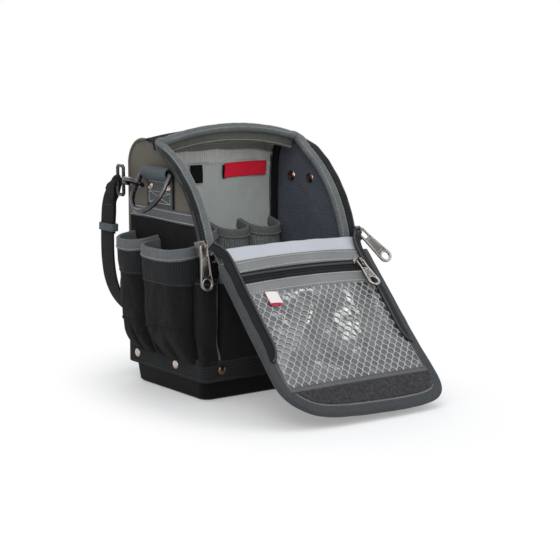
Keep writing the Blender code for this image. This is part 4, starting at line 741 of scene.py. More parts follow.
turn_left = next(k for k, p in enumerate(rim_points) if p.x > -83.2)
turn_right = len(rim_points) - turn_left
for name, first, last in (("left", 0, turn_left + 1), ("crown", turn_left, turn_right),
                          ("right", turn_right - 1, len(rim_points))):
    rim = sweep(f"rim_{name}", rim_points[first:last], rim_widths[first:last], round_section(12.0, 6.6, 3.2, 4),
                GREY_RIM, scale=lambda i, run, first=first: rim_size(i + first), nodes=("rim_binding",))
    if name == "crown":
        crumples(rim)
for name, first, last in (("left", 2, turn_left - 3), ("crown", turn_left + 4, turn_right - 4),
                          ("right", turn_right + 3, len(rim_points) - 2)):
    for row, across in enumerate((3.4, -3.6)):
        line = [rim_points[k] + rim_widths[k] * across * rim_size(k)[0] + rim_normals[k] * 3.2
                for k in range(first, last)
                if abs(abs(rim_points[k].x) - RIM_CORNER_X) >= 2.2 or rim_points[k].z <= 246]
        seam = stitches(f"rim_stitch_{name}_{row}", [(line, (0, -0.55, 0.8))], THREAD_MID, 2.2, 3.4, 0.36)
        if name == "crown":
            crumples(seam)


# Pockets
POCKET_LOW = 38.0


def d_plan(base, depth, low, high, corner):
    corner = min(corner, depth * 0.98, (high - low) / 2.02)
    return ([(base, low)] + arc_points(base + depth - corner, low + corner, corner, -90, 0)
            + arc_points(base + depth - corner, high - corner, corner, 0, 90) + [(base, high)])


class Pocket:
    """A sewn pocket: plan(z) is its outline, u away from the panel and v along it."""

    def __init__(self, name, plan, world, high, crease, pleats=(), seed=0, dip=0.0, low=POCKET_LOW):
        self.name, self.plan, self.world, self.low, self.high = name, plan, world, low, high
        self.crease, self.pleats, self.seed, self.dip = crease, pleats, seed, dip
        self.rows, self.flip = {}, False

    def row(self, z):
        key = round(z, 2)
        if key not in self.rows:
            points = [Vector((u, v, 0)) for u, v in self.plan(z)]
            self.rows[key] = resample(points, sum((b - a).length for a, b in zip(points, points[1:])) / 72)
        return self.rows[key]

    def at(self, s, z, out=0.0, calm=0.0):
        row = self.row(z)
        inside = min(max(s, 0.0), 1.0)
        place = inside * (len(row) - 1)
        k = min(int(place), len(row) - 2)
        along = (row[min(k + 3, len(row) - 1)] - row[max(k - 2, 0)]).normalized()
        share = (z - self.low) / (self.high - self.low)
        hold = near_ends(s, 0.1) * (1 - calm)
        hold *= min(smoothstep(0.0, 0.12, share), 1 - 0.75 * smoothstep(0.72, 0.85, share))
        swell = (wrinkle(s * 90, z * 0.5 + self.seed * 40, self.seed, 17, 2.6)
                 + wrinkle(s * 120 + z * 0.3, z + self.seed * 9, 5, 9, 0.9)) * hold * self.crease
        for where, width, depth, top in self.pleats:
            fold = math.exp(-((s - where - 0.12 * (1 - share)) / width) ** 2)
            swell -= depth * fold * smoothstep(top + 14, top - 12, z) * smoothstep(0, 0.15, share + 0.08)
        point = row[k].lerp(row[k + 1], place - k) + Vector((along.y, -along.x, 0)) * (out + swell)
        x, y, z = self.world(point.x, point.y, z)
        return Vector((x, y, z - self.dip * math.sin(math.pi * inside) * smoothstep(0.7, 1.0, share)))

    def normal(self, s, z):
        return (self.at(s, z, 1.0, 1.0) - self.at(s, z, 0.0, 1.0)).normalized()

    def shell(self, material, node=None, thickness=1.7, rows=44, around=84):
        def point(s, t):
            return self.at(1 - s if self.flip else s, self.low + (self.high - self.low) * t)
        a, b, c = point(0.5, 0.5), point(0.52, 0.5), point(0.5, 0.52)
        self.flip = (b - a).cross(c - a).dot(self.normal(0.5, 0.5 * (self.low + self.high))) < 0
        thick_sheet(self.name, point, around, rows, thickness, material, nodes=(node,) if node else ())

    def lip(self, material, height, thick, stitch=THREAD_MID, rise=1.0):
        """The bound upper edge, with a row of stitches along its foot."""
        z, low = self.high - height / 2 + rise, self.high - height + rise + 2.6
        path, run = [], []
        for k in range(91):
            dip = self.dip * math.sin(math.pi * k / 90)
            p, q = self.at(k / 90, z, -0.9, 1.0), self.at(k / 90, low, thick / 2 - 0.75, 1.0)
            path.append((p.x, p.y, z - dip))
            run.append((q.x, q.y, low - dip))

        def fatness(i, run):
            return (1 + wrinkle(run, self.seed * 7, 1, 9, 0.05), 1 + wrinkle(run, self.seed * 7, 50, 7, 0.16))
        sweep(self.name + "_lip", path, (0, 0, 1), round_section(height, thick, thick * 0.46, 4), material,
              scale=fatness)
        stitches(self.name + "_lip_stitch", [(run[3:-3], self.normal(0.5, low))], stitch, 2.3, 3.4, 0.42)

    def webbing(self, low, high):
        """Ribbed webbing round the pocket, and a hem near its foot."""
        def point(s, t):
            return self.at(1 - s if self.flip else s, low + (high - low) * t, 0.6 if t > 0.08 else 0.24)
        thick_sheet(self.name + "_webbing", point, 84, 12, 1.0, BLACK_RIB)
        run = [self.at(k / 90, low + 1.8, 0.85) for k in range(2, 89)]
        stitches(self.name + "_webbing_stitch", [(run, self.normal(0.5, low))], THREAD_DARK, 1.9, 2.9, 0.22)
        run = [self.at(0.02 + 0.96 * k / 70, 72 + 1.2 * math.sin(k / 70 * 5 + self.seed), 0.35) for k in range(71)]
        sweep(self.name + "_hem_72", run, (0, 0, 1), round_section(2.2, 1.3), BLACK_SOFT)


def flare(z, low, high, foot, depth):
    share = min(max((z - low) / (high - low), 0.0), 1.0)
    middle = foot + (depth - foot) * 0.74
    if share < 0.26:
        return foot + (middle - foot) * math.sin(share / 0.26 * math.pi / 2) ** 0.9
    return middle + (depth - middle) * (1 - max(1 - (share - 0.26) / 0.74, 0.0) ** 1.6)


POUCHES = (("front", -62.5, 9.7, 156.0, ((0.30, 0.045, 4.5, 58.0), (0.64, 0.05, 5.5, 64.0))),
           ("rear", 10.3, 57.5, 159.0, ((0.36, 0.05, 4.0, 62.0), (0.72, 0.05, 4.0, 66.0))))
for side, sign in SIDES:
    def world(u, v, z, sign=sign):
        return (sign * u, v, z)
    for index, (place, low, high, lip, pleats) in enumerate(POUCHES):
        def plan(z, low=low, high=high, lip=lip):
            depth = flare(max(z, POCKET_LOW), POCKET_LOW, lip, 6.0, 29.0)
            narrow = 2.0 * smoothstep(70, 40, z)
            return d_plan(90.4, depth, low + narrow, high - narrow, min(depth * 0.66, 18))
        pouch = Pocket(f"side_pouch_{side}_{place}", plan, world, lip, 0.75, pleats,
                       1 + index + (5 if sign > 0 else 0), 4.5)
        pouch.shell(BLACK, f"side_pocket_{side}_{place}")
        pouch.lip(GREY_DARK, 12.5, 4.2)
        pouch.webbing(lip - 39, lip - 9)

    def corner_plan(z):
        face = front_depth(z) + 0.4
        depth = 3.5 + 6.0 * smoothstep(40, 75, z)
        start = 80.8 - 5.0 * smoothstep(64, 40, z)
        r = depth * 0.6
        return ([(start, -face)] + arc_points(start + r, -face - depth + r, r, 180, 270, 5)
                + arc_points(90.3, -face, depth, -90, 0, 8) + [(90.3 + depth, -face + 3.5)]
                + arc_points(90.3 + depth - r, -face + 7.6 - r, r, 0, 90, 4) + [(90.4, -face + 7.6)])
    corner = Pocket(f"corner_pouch_{side}", corner_plan, world, 125.0, 0.35, seed=11 if sign < 0 else 12)
    corner.shell(BLACK, f"corner_pocket_{side}", around=60)
    corner.lip(BLACK_SOFT, 7.0, 2.8, THREAD_DARK, 0.6)
    edge_run = [corner.at(0.035, z, 0.6, 1.0) for z in range(124, 37, -2)]
    sweep(f"corner_piping_{side}", edge_run, (sign * 0.8, 0.6, 0), round_section(5.0, 2.6), GREY_DARK)
    for shift in (-1.5, 1.5):
        run = [p + Vector((sign * shift, -1.5, 0)) for p in edge_run]
        stitches(f"corner_piping_stitch_{side}_{int(shift * 2)}", [(run, (0, -1, 0))], THREAD_PALE, 1.9, 2.9, 0.24)


def front_plan(z):
    depth = 3.0 + 8.0 * smoothstep(38, 80, z)
    return d_plan(front_depth(z) + 0.4, depth, -74.5, 74.5, min(depth * 0.7, 9))


front_pouch = Pocket("front_pouch", front_plan, lambda u, v, z: (v, -u, z), 128.0, 0.8,
                     ((0.3, 0.04, 2.0, 60.0), (0.7, 0.04, 2.0, 62.0)), 21)
front_pouch.shell(BLACK, "front_pocket")
front_pouch.lip(GREY_DARK, 10.0, 3.4)
back_pouch = Pocket("back_pouch", lambda z: d_plan(66.4, 2.6 + 11.4 * smoothstep(38, 95, z), -84, 84, 8.5),
                    lambda u, v, z: (-v, u, z), 197.0, 0.9,
                    ((0.3, 0.03, 2.5, 62.0), (0.5, 0.03, 2.0, 60.0), (0.7, 0.03, 2.5, 62.0)), 31)
back_pouch.shell(BLACK, "back_pocket")
back_pouch.lip(GREY_DARK, 12.5, 3.8)
back_pouch.webbing(158, 188)


# Band round the foot, with its rivets
def foot_path(half_width, front_y, back_y, corner, z):
    points = []
    for x, y, start in ((half_width - corner, back_y - corner, 0), (-half_width + corner, back_y - corner, 90),
                        (-half_width + corner, front_y + corner, 180), (half_width - corner, front_y + corner, 270)):
        points += [(*p, z) for p in arc_points(x, y, corner, start, start + 90)]
    return points + points[:1]


sweep("foot_band", resample(foot_path(92.2, -73.9, 68.3, 5.0, 31.6), 2.5)[:-1], (0, 0, 1),
      round_section(22.6, 2.9, 1.2, 3), BLACK_RIB, closed=True, nodes=("base_band",),
      scale=lambda i, run: (1 + wrinkle(run, 1, 2, 20, 0.02), 1 + wrinkle(run, 4, 9, 12, 0.18)))
for row in (22.6, 40.6):
    stitches(f"foot_band_stitch_{int(row)}", [(foot_path(93.75, -75.35, 69.75, 6.4, row), (0, 0, 1))],
             THREAD_DARK, 1.9, 2.9, 0.2)

DOME_PROFILE = ((1.0, 0.0), (1.0, 0.2), (0.93, 0.5), (0.75, 0.78), (0.45, 0.95), (0.2, 1.0))
DOME_SIDES = 24


def dome(name, place, outward, radius, height, material):
    outward = Vector(outward)
    across = outward.orthogonal().normalized()
    up = outward.cross(across)
    verts, uvs = [], []
    for wide, high in DOME_PROFILE:
        for k in range(DOME_SIDES):
            a, b = math.cos(TAU * k / DOME_SIDES), math.sin(TAU * k / DOME_SIDES)
            r = radius * wide
            verts.append(Vector(place) + outward * (height * high) + (across * a + up * b) * r)
            uvs.append((r * a, r * b))
    faces = ring_faces(0, DOME_SIDES, len(DOME_PROFILE))
    faces += [tuple(range(DOME_SIDES - 1, -1, -1)), tuple(range(len(verts) - DOME_SIDES, len(verts)))]
    finish_mesh(name, verts, faces, uvs, material)


RIVET_Z = 31.75
for side, sign in SIDES:
    for end, y in (("rear", 49), ("front", -24)):
        dome(f"foot_rivet_{side}_{end}", (sign * 93.4, y, RIVET_Z), (sign, 0, 0), 4.7, 2.4, RIVET)
    # The front rivets take the dark metal instead of the rivet metal: painted shade
    dome(f"foot_rivet_front_{side}", (sign * 72.5, -75.2, RIVET_Z), (0, -1, 0), 4.7, 2.4, CAP_AND_SHADED_RIVET)
for side, sign in SIDES:
    for end in ("front", "rear"):
        # The rivet's inner end shows on the lining
        low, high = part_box(f"tab_rivet_{side}_{end}")
        inner = min(abs(low[0]), abs(high[0])) / MM
        dome(f"tab_rivet_cap_{side}_{end}", (sign * (inner + 0.3), (low[1] + high[1]) / 2 / MM,
                                             (low[2] + high[2]) / 2 / MM), (-sign, 0, 0), 5.1, 2.0, CAP_AND_SHADED_RIVET)

# Body zip: its tape comes out from under the rim and narrows at the top, where its end is folded under
for side, sign in SIDES:
    def tape_point(s, t, sign=sign):
        share = s if sign > 0 else 1 - s
        wave = 0.35 * math.sin(share * 40) * t + wrinkle(share * 90, sign * 5, t, 12, 0.5)
        y, z = arch(math.radians(168.6 - 58.6 * share), 139.4 - 2.4 * smoothstep(0.38, 0.0, t) + wave * 0.6)
        return (sign * (86.0 + (11.6 - 5.0 * smoothstep(0.84, 1.0, share)) * t), y, z)
    thick_sheet(f"body_zip_tape_{side}", tape_point, 110, 8, 0.9, TAPE, nodes=(f"zip_tape_{side}",))
    coil_path = [(sign * (96.6 - 5.0 * smoothstep(0.84, 1.0, k / 150)),
                  *arch(math.radians(168.5 - 58.0 * k / 150), 139.2)) for k in range(151)]
    sweep(f"body_zip_coil_{side}", coil_path, (sign, 0, 0), round_section(2.6, 2.8, 0.9, 1), COIL,
          scale=beads(1.14, 0.74))
    line = [(sign * 91.9, *arch(math.radians(168.0 - 57.5 * k / 90), 140.0)) for k in range(91)]
    stitches(f"body_zip_stitch_{side}", [(line, (0, -0.7, 0.7))], THREAD_DARK, 2.0, 3.4, 0.24)
    y, z = arch(math.radians(110.0), 139.2)
    curl = smooth_path([(sign * 87.5, y + 1, z + 0.3), (sign * 89.5, y + 4.0, z + 0.2),
                        (sign * 92.0, y + 3.2, z - 1.0), (sign * 92.0, y - 0.5, z - 2.0)], 1.0)
    sweep(f"body_zip_end_{side}", curl, (0, 0.3, 1), round_section(6.5, 1.2), TAPE)

# D-ring tabs: webbing that runs up the side, loops over the ring and comes down in front of itself
for side, sign in SIDES:
    tab = [(91.3, 190.7 + k) for k in range(0, 28, 2)] + [(91.4, 219.5), (91.9, 222.5)]
    tab += [(95.7 - 4.6 * math.cos(math.radians(a)), 224.2 + 4.6 * math.sin(math.radians(a)))
            for a in range(10, 181, 12)]
    tab += [(100.1, 221.5), (98.2, 218.6), (95.4, 216.4), (93.8, 215.6)]
    sweep(f"ring_tab_{side}", resample([(sign * x, 5, z) for x, z in tab], 1.2), (0, 1, 0),
          round_section(46, 1.8, 0.8, 2), TAB_GREY, nodes=(f"d_ring_tab_{side}",))
    low_front, low_rear, high_rear, high_front = [
        (sign * 92.45, y, z) for y, z in ((-14.5, 192.5), (24.5, 192.5), (24.5, 204), (-14.5, 204))]
    lines = ([low_front, low_rear, high_rear, high_front, low_front], [low_front, high_rear], [high_front, low_rear],
             [(sign * 93.4, y, 214.2) for y in range(-14, 25, 2)])
    stitches(f"ring_tab_stitch_{side}", [(line, (sign, 0, 0)) for line in lines], THREAD_PALE, 1.9, 2.8, 0.28)
    for end, y in (("front", -18.6), ("rear", 28.6)):
        sweep(f"ring_tab_edge_{side}_{end}", [(sign * 91.1, y, z) for z in range(188, 224, 3)], (0, 1, 0),
              round_section(2.2, 1.6), BLACK_SOFT)

# Inside
LINER_FOOT, LINER_HALF = 25, 86.5


def liner_point(s, t):
    x = -LINER_HALF + 2 * LINER_HALF * s
    z = LINER_FOOT + ((242.0 if x > 0 else 243.0) - 9.0 * (x / LINER_HALF) ** 2 - LINER_FOOT) * t
    fold = wrinkle(x, 20, z, 38, 3.0) + wrinkle(x + 0.4 * z, 60, z * 0.5, 14, 1.2)
    gather = 0.7 * noise.noise(Vector((x / 3.2, z / 60, 3))) * smoothstep(222, 228, z)
    return (x, 58.6 - 1.2 * smoothstep(222, 242, z) - abs(fold) * 0.7 - gather, z)


def header_band_point(s, t):
    x, y, z = liner_point(s, (199.2 + t * 16.8) / 217)
    return (x, y - 0.8, z)


thick_sheet("rear_lining", liner_point, 120, 110, 1.0, LINER, nodes=("rear_liner",))
# A real band over the liner's top, with its cloth lightened against the crown's shadow: painted light
thick_sheet("liner_header_band_painted_light", header_band_point, 120, 12, 0.6, LINER_HEADER_LIT)
seam_run = [(x, liner_point((x + LINER_HALF) / 173, 198.5 / 217)[1] - 0.3, 223.6) for x in range(-84, 84, 2)]
sweep("lining_seam", seam_run, (0, 0, 1), round_section(1.6, 1.2), LINER)
stitches("lining_stitch", [([(x, y - 0.3, z + 2.4) for x, y, z in seam_run], (0, -1, 0))], THREAD_DARK,
         1.9, 2.8, 0.22)
strip_path = [(-14.2, 56.4, 223), (-14.2, 55.6, 218), (-14.2, 55.2, 212), (-14.2, 55.4, 204)]
sweep("lining_strip", smooth_path(strip_path, 3), (1, 0, 0), round_section(15, 1.4, 0.5, 2), BLACK_SOFT)
thick_sheet("red_tab", lambda s, t: (
    21.5 + 54.5 * s + 1.2 * (t - 0.5), 55.2 - 0.9 * math.sin(s * 3.0) - 0.6 * math.sin(t * 3.1),
    207.6 + 15.6 * t + 1.0 * math.sin(s * 2.6)), 30, 12, 0.7, LABEL, nodes=("label_tab",))
sweep("red_tab_side", [(21.0, 55.6, 206.9), (20.6, 55.5, 214), (20.9, 55.6, 221.5)], (1, 0, 0),
      round_section(3.4, 0.9, 0.3, 1), BLACK_SOFT)

# Olive header under the crown, and the facing behind the rim
HEADER_SEAM_WAY = (0, -0.8, -0.6)
header_path = [(x, 54.0 - 0.03 * crown(x), 241.0 + 0.12 * crown(x) + (-3.5 if abs(x) > 80 else 0))
               for x in (-85 + 170 * k / 60 for k in range(61))]
crumples(sweep("inner_header", header_path, (0, -0.62, 0.78), round_section(13.0, 2.6, 1.1, 3), HEADER,
               scale=lambda i, run: (1, 1 + wrinkle(run, 3, 60, 6, 0.35))))
crumples(stitches("inner_header_stitch", [([(x, y + 1.7, z - 4.7) for x, y, z in header_path], HEADER_SEAM_WAY),
                                          ([(x, y - 4.0, z + 2.5) for x, y, z in header_path], HEADER_SEAM_WAY)],
                  THREAD_PALE, 1.8, 2.7, 0.22))
facing_path = [(x, 16.2 + 0.8 * noise.noise(Vector((x / 3.6, 2, 9))), 239.2 + crown(x))
               for x in (-82 + 164 * k / 84 for k in range(85))]
crumples(sweep("rim_facing", facing_path, (0, -0.05, 1), round_section(11.0, 2.2, 1.0, 3), FACING,
               scale=lambda i, run: (1, 1 + wrinkle(run, 30, 6, 4, 0.5))))
crumples(stitches("rim_facing_stitch", [([(x, y - 1.5, z - 3.6) for x, y, z in facing_path], (0, -1, 0))],
                  THREAD_PALE, 1.8, 2.7, 0.22))

for side, sign in SIDES:
    column = smooth_path([(sign * 84.6, 51, 26), (sign * 84.8, 51.5, 100), (sign * 84.4, 51, 170),
                          (sign * 84.6, 50.5, 215), (sign * 84.2, 45.5, 238), (sign * 83.4, 36, 247)], 3.0)
    sweep(f"corner_binding_{side}", column, (0, 1, 0.12), round_section(10.5, 3.6, 1.7, 3), BLACK_SOFT,
          scale=lambda i, run: (1 + wrinkle(run, 3, 9, 12, 0.06), 1 + wrinkle(run, 1, 6, 9, 0.3)))
    sweep(f"corner_edge_{side}", [(sign * 85.0, 58.0, z) for z in range(30, 234, 4)], (1, 0.3, 0),
          round_section(5.0, 2.6, 1.2, 3), BAND_GREY)
for cell in range(4):
    middle = -62.25 + 41.5 * cell
    tube = Pocket(f"tool_loop_{cell + 1}", lambda z, middle=middle: d_plan(
        -57.6, 31.5 - 5.0 * smoothstep(120, 40, z), middle - 20.5, middle + 20.5, 18.5),
        lambda u, v, z: (v, -u, z), 162.0, 0.6, (), 41 + cell, 7.5, 30.0)
    tube.shell(TOOL_RIB, None if cell else "tool_row", 1.6, 30, 70)
    tube.lip(TOOL_LIP, 11.0, 3.6, THREAD_MID, 0.8)


# Flap: x across, s down its slope from the hinge, n out of its outer face
CUTS = (24.5, 68.75, 108.25, 147.75, 186.0)


def crest(x, half=80.0):
    """1 on the flap's middle line, falling to 0 at half."""
    return max(1 - (x / half) ** 2, 0.0)


def bulge(x, s):
    """The flap's inner face crowns a little towards the viewer."""
    across = crest(x, 84.0)
    return 5.0 * across * math.exp(-((s - 22) / 34.0) ** 2) + 1.6 * across * math.sin(
        math.pi * min(max(s, 0), 204) / 204)


def flap(x, s, n, crowned=True):
    lift = bulge(x, s) if crowned else 0.0
    return HINGE + Vector((x, 0, 0)) + DOWN * s + OUT * (n - lift)


def on_flap(piece, nodes=None, slot=None):
    """Cuts a piece that lies along the flap at the middles of its stiff panels; the last part rides flap_5 and the
    others stay in place.
    """
    slot = slot or SLOT_OF[piece.data.materials[0].name]
    for k, (low, high) in enumerate(zip((None,) + CUTS, CUTS + (None,))):
        part = piece.copy()
        part.data = piece.data.copy()
        part.name = f"{piece.name}_{k + 1}"
        work = bmesh.new()
        work.from_mesh(part.data)
        for place, keep_after in ((low, True), (high, False)):
            if place is not None:
                bmesh.ops.bisect_plane(work, geom=work.verts[:] + work.edges[:] + work.faces[:],
                                       plane_co=(HINGE + DOWN * place) * MM, plane_no=DOWN,
                                       clear_inner=keep_after, clear_outer=not keep_after)
        work.to_mesh(part.data)
        empty = not work.faces
        work.free()
        if empty:
            bpy.data.objects.remove(part)
            continue
        bpy.context.scene.collection.objects.link(part)
        if high is None:
            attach(part, "flap_5")
        else:
            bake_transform(part)
    bpy.data.objects.remove(piece)
    for node, place in (nodes or {}).items():
        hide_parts(node)


OUTER = smooth_path([(x, s, 0) for x, s in (
    (-93.6, 19), (-94, 60), (-94, 110), (-94, 150), (-92.5, 163), (-87.5, 174.5), (-79, 184.5), (-69, 191.8),
    (-57, 196.8), (-42, 200), (-15, 202.6), (20, 204), (45, 204.3), (68, 203), (84, 199.3), (93, 191.5),
    (96.4, 179.5), (96.2, 162), (94.8, 140), (94.2, 110), (94, 60), (93.6, 19))], 1.6)


def inset_path(distance):
    out = []
    for k, point in enumerate(OUTER):
        along = tangent_at(OUTER, k)
        out.append(point + Vector((along.y, -along.x, 0)) * distance)
    return out


def end_at(path, x):
    """How far down the flap a path reaches at x."""
    best = 0.0
    for a, b in zip(path, path[1:]):
        if min(a.x, b.x) <= x <= max(a.x, b.x) and abs(b.x - a.x) > 1e-6:
            best = max(best, a.y + (b.y - a.y) * (x - a.x) / (b.x - a.x))
    return best


def across_flap(path, k):
    """The direction across a path of (x, s) points, in the flap's plane."""
    along = tangent_at(path, k)
    return Vector((along.y, 0, 0)) - DOWN * along.x


# Padded edge of the flap
edge_line = inset_path(5.9)


def binding_size(i, run):
    ends = min(smoothstep(-4, 12, run), smoothstep(-4, 12, len(edge_line) * 1.6 - run))
    return ((1 + wrinkle(run, 5, 2, 14, 0.05)) * (0.55 + 0.45 * ends),
            (1 + wrinkle(run, 15, 22, 9, 0.14)) * (0.5 + 0.5 * ends))


on_flap(sweep("flap_binding", [flap(p.x, p.y, 1.5, False) for p in edge_line],
              [across_flap(edge_line, k) for k in range(len(edge_line))], round_section(11.8, 6.2, 3.0, 4), EDGE,
              None, scale=binding_size))
for name, inset, n, material, radius in (("flap_binding_stitch", 9.0, -1.55, THREAD_DARK, 0.3),
                                         ("flap_binding_stitch_two", 10.6, -1.25, STRIP, 0.22)):
    line = [flap(p.x, p.y, n, False) for p in inset_path(inset)][2:-2]
    on_flap(stitches(name, [(line, -OUT)], material, 2.0, 2.9, radius, None), slot="taupe_nylon")

# Outer cloth and inner cloth
inner_edge = inset_path(6.0)


def flap_cloth(name, n, thickness, material, start, crowned, wrinkles):
    def point(s, t):
        x = -88 + 176 * s
        reach = end_at(inner_edge, max(min(x, 90.2), -87.9)) or 170.0
        down = start + (reach - start) * t
        return flap(x, down, n + wrinkle(x, down, n * 20, 30, wrinkles), crowned)
    return thick_sheet(name, point, 80, 110, thickness, material, None)


on_flap(flap_cloth("flap_back", 4.2, 1.2, TAUPE, 2.0, False, 0.4),
        {"flap_panel_1": 0, "flap_panel_2": 1, "flap_panel_3": 2, "flap_panel_4": 3, "flap_panel_5": 5})
on_flap(flap_cloth("flap_face", 0.6, 1.0, STRIP, 17.5, True, 0.2))

# Pale fold from the front over the hinge: first along this line of (y, z), then straight to the flap
FOLD_LINE = [(-69.5, 141), (-70.5, 146), (-74.0, 150.8), (-79.5, 153.4), (-86.0, 154.0)]


def fold_point(s, t):
    x = -84.5 + 169 * (1 - s)
    place = t * 8
    lift = 5.0 * crest(x, 84.0)
    if place < 4:
        base = Vector((x, *follow(FOLD_LINE, place))) - OUT * lift * 0.6 * smoothstep(0, 4, place)
    else:
        share = (place - 4) / 4
        begin = Vector((x, *FOLD_LINE[-1])) - OUT * lift * 0.6
        base = begin.lerp(flap(x, 23.0 - 1.8 * crest(x), 0.3), share) - OUT * 0.6 * math.sin(math.pi * share)
    return base - OUT * wrinkle(x, place * 5, 4, 16, 1.1) * smoothstep(0, 1, place) * (1 - smoothstep(5.8, 7, place))


on_flap(thick_sheet("flap_fold_cloth", fold_point, 90, 40, 1.6, PALE, None), {"hinge_fold": 0})
on_flap(thick_sheet("flap_fold_under", lambda s, t: (
    -83.5 + 167 * s, -75.6 - 12.0 * math.sin(t * math.pi / 2) + 1.8 * t,
    140.5 + 10.5 * t ** 1.3 + wrinkle(s * 160, t * 20, 8, 18, 0.6)), 60, 14, 1.2, TAUPE, None))


# Trim strips and the pocket's zip; bow lifts the middle of a line towards the hinge
def flap_strip(name, low, high, n, thickness, material, left=-79.5, right=79.5, rows=8, bow=0.0):
    def point(s, t):
        x = left + (right - left) * (1 - s)
        down = low + (high - low) * t
        edge = 0.5 * (1 - near_ends(t, 0.15))
        return flap(x, down - bow * crest(x), n + edge - wrinkle(x, down, 3, 14, 0.35))
    return thick_sheet(name, point, 90, rows, thickness, material, None)


def flap_stitch(name, rows, n, material, left=-78, right=78, radius=0.27, bow=0.0):
    runs = [([flap(x, s - bow * crest(x), n) for x in range(left, right + 1, 2)], -OUT) for s in rows]
    return stitches(name, runs, material, 2.0, 3.4, radius, None)


for name, low, high, n, thickness, rows, bow, part in (
        ("upper", 20.2, 34.2, -1.4, 1.2, (22.2, 31.8), 1.8, 0), ("lower", 45.0, 59.6, -1.6, 1.4, (47.2, 57.0), 1.2, 1)):
    on_flap(flap_strip(f"trim_{name}", low, high, n, thickness, STRIP, bow=bow), {f"flap_strip_{name}": part})
    on_flap(flap_stitch(f"trim_{name}_stitch", rows, n - 0.5, THREAD_PALE, radius=0.34, bow=bow), slot="grey_trim")
on_flap(flap_strip("pocket_zip_tape", 31.4, 46.4, -0.8, 0.8, TAPE), {"pocket_zipper": 0})
on_flap(flap_stitch("pocket_zip_tape_stitch", (41.6,), -1.1, THREAD_DARK), slot="zip_tape")
for row, place in enumerate((33.4, 39.6, 43.6)):
    on_flap(sweep(f"pocket_zip_edge_{row}", [flap(-78 + 156 * k / 60, place, -1.3) for k in range(61)], DOWN,
                  round_section(2.4, 1.3, 0.6, 2), TAPE, None))
on_flap(sweep("pocket_zip_coil", [flap(-77 + 155 * k / 180, 35.8, -1.4) for k in range(181)], DOWN,
              round_section(3.3, 2.0, 0.8, 1), COIL, None, scale=beads(1.12, 0.78)))

# Zip tapes along both inner edges
ZIP_LINE = ((91.0, -3.5, -1.5), (87.0, 2.5, -3.4), (83.0, 9, -3.4), (81.4, 18, -3.0), (81.2, 34, -2.6),
            (81.4, 60, -2.5), (81.2, 90, -2.4), (80.8, 112, -2.3), (81.6, 121, -2.0), (84.4, 128.0, -1.4),
            (88.5, 131.5, -0.6))
for side, sign in SIDES:
    tape_line = smooth_path([(sign * x, s, n) for x, s, n in ZIP_LINE], 1.5)
    widths = [across_flap(tape_line, k) + OUT * 0.22 * sign for k in range(len(tape_line))]
    tape_path = [flap(*p, False) for p in tape_line]
    on_flap(sweep(f"flap_zip_tape_{side}", tape_path, widths, round_section(10.5, 1.5, 0.7, 2), TAPE, None))
    coil_path = resample([p - w.normalized() * 4.0 * sign - OUT * 0.9 for p, w in zip(tape_path, widths)], 0.95)
    on_flap(sweep(f"flap_zip_coil_{side}", coil_path, (1, 0, 0), round_section(2.8, 2.6, 0.9, 1), COIL, None,
                  scale=beads(1.15, 0.72)))


# Clear pocket with its net
def film_wave(x, s):
    ridge = -12.0 - 58.0 * smoothstep(72, 150, s)
    rise = 3.4 * math.exp(-((x - ridge) / 15.0) ** 2) * smoothstep(58, 80, s) * smoothstep(166, 146, s)
    return 0.9 + rise + 0.7 * noise.noise(Vector((x / 24, s / 50, 4))) + 0.12 * noise.noise(
        Vector((x / 9, s / 14, 14)))


def mesh_half(s):
    return 79.0 + 3.0 * smoothstep(118, 135, s)


def film_point(s, t):
    down = 54 + 110.5 * t
    half = mesh_half(down)
    x = -half + 2 * half * (1 - s)
    return flap(x, down, -film_wave(x, down))


on_flap(thick_sheet("pocket_film", film_point, 90, 70, 0.6, FILM, None),
        {"mesh_pocket_1": 1, "mesh_pocket_2": 2, "mesh_pocket_3": 3})

STEP_X, STEP_S, NET_SIDES = 4.45, 5.4, 5


def net_runs():
    """Both families of strands, each a wavy line that meets its neighbours at the knots."""
    runs = []
    for family in (1, -1):
        for start in range(-70, 71):
            run = []
            for k in range(156):
                t = k / 6
                x = start * STEP_X * 2 + family * STEP_X * (t - 0.11 * math.sin(TAU * t))
                s = 50 + STEP_S * t
                x += 0.35 * noise.noise(Vector((x / 8, s / 8, family)))
                if abs(x) <= mesh_half(s) and 57.5 <= s <= 165:
                    run.append((x, s, t))
                elif run:
                    runs.append(run)
                    run = []
            if run:
                runs.append(run)
    return [run for run in runs if len(run) > 3]


net_verts, net_faces, net_uvs = [], [], []
for run in net_runs():
    net_faces += ring_faces(len(net_verts), NET_SIDES, len(run))
    for k, (x, s, t) in enumerate(run):
        here = flap(x, s, -film_wave(x, s) - 0.45)
        a, b = run[max(k - 1, 0)], run[min(k + 1, len(run) - 1)]
        along = (Vector((b[0] - a[0], 0, 0)) + DOWN * (b[1] - a[1])).normalized()
        side_way = along.cross(OUT).normalized()
        knot = 1 + 0.35 * math.cos(TAU * t)
        for c in range(NET_SIDES):
            turn = TAU * c / NET_SIDES
            net_verts.append(here + side_way * 0.66 * knot * math.cos(turn) - OUT * 0.6 * math.sin(turn))
            net_uvs.append((c * 0.5, s))
on_flap(finish_mesh("pocket_net", net_verts, net_faces, net_uvs, NET, None))

# Tape under the pocket, and the loop pile
on_flap(flap_strip("pocket_foot_tape", 163.2, 169.6, -1.6, 1.3, BAND_GREY, -83, 86, 6))
on_flap(flap_stitch("pocket_foot_stitch", (164.8,), -2.0, THREAD_DARK, -80, 84), slot="grey_trim")
loop_edge = inset_path(12.6)


def loop_point(s, t):
    x = -80.5 + 167.5 * (1 - s)
    reach = max(end_at(loop_edge, min(max(x, -80.8), 86.8)), 170.0)
    down = 169.2 + (reach - 169.2) * t
    rough = 0.45 * noise.noise(Vector((x / 1.4, down / 1.4, 1))) + 0.3 * noise.noise(Vector((x / 4, down / 4, 6)))
    return flap(x, down, -1.7 - rough)


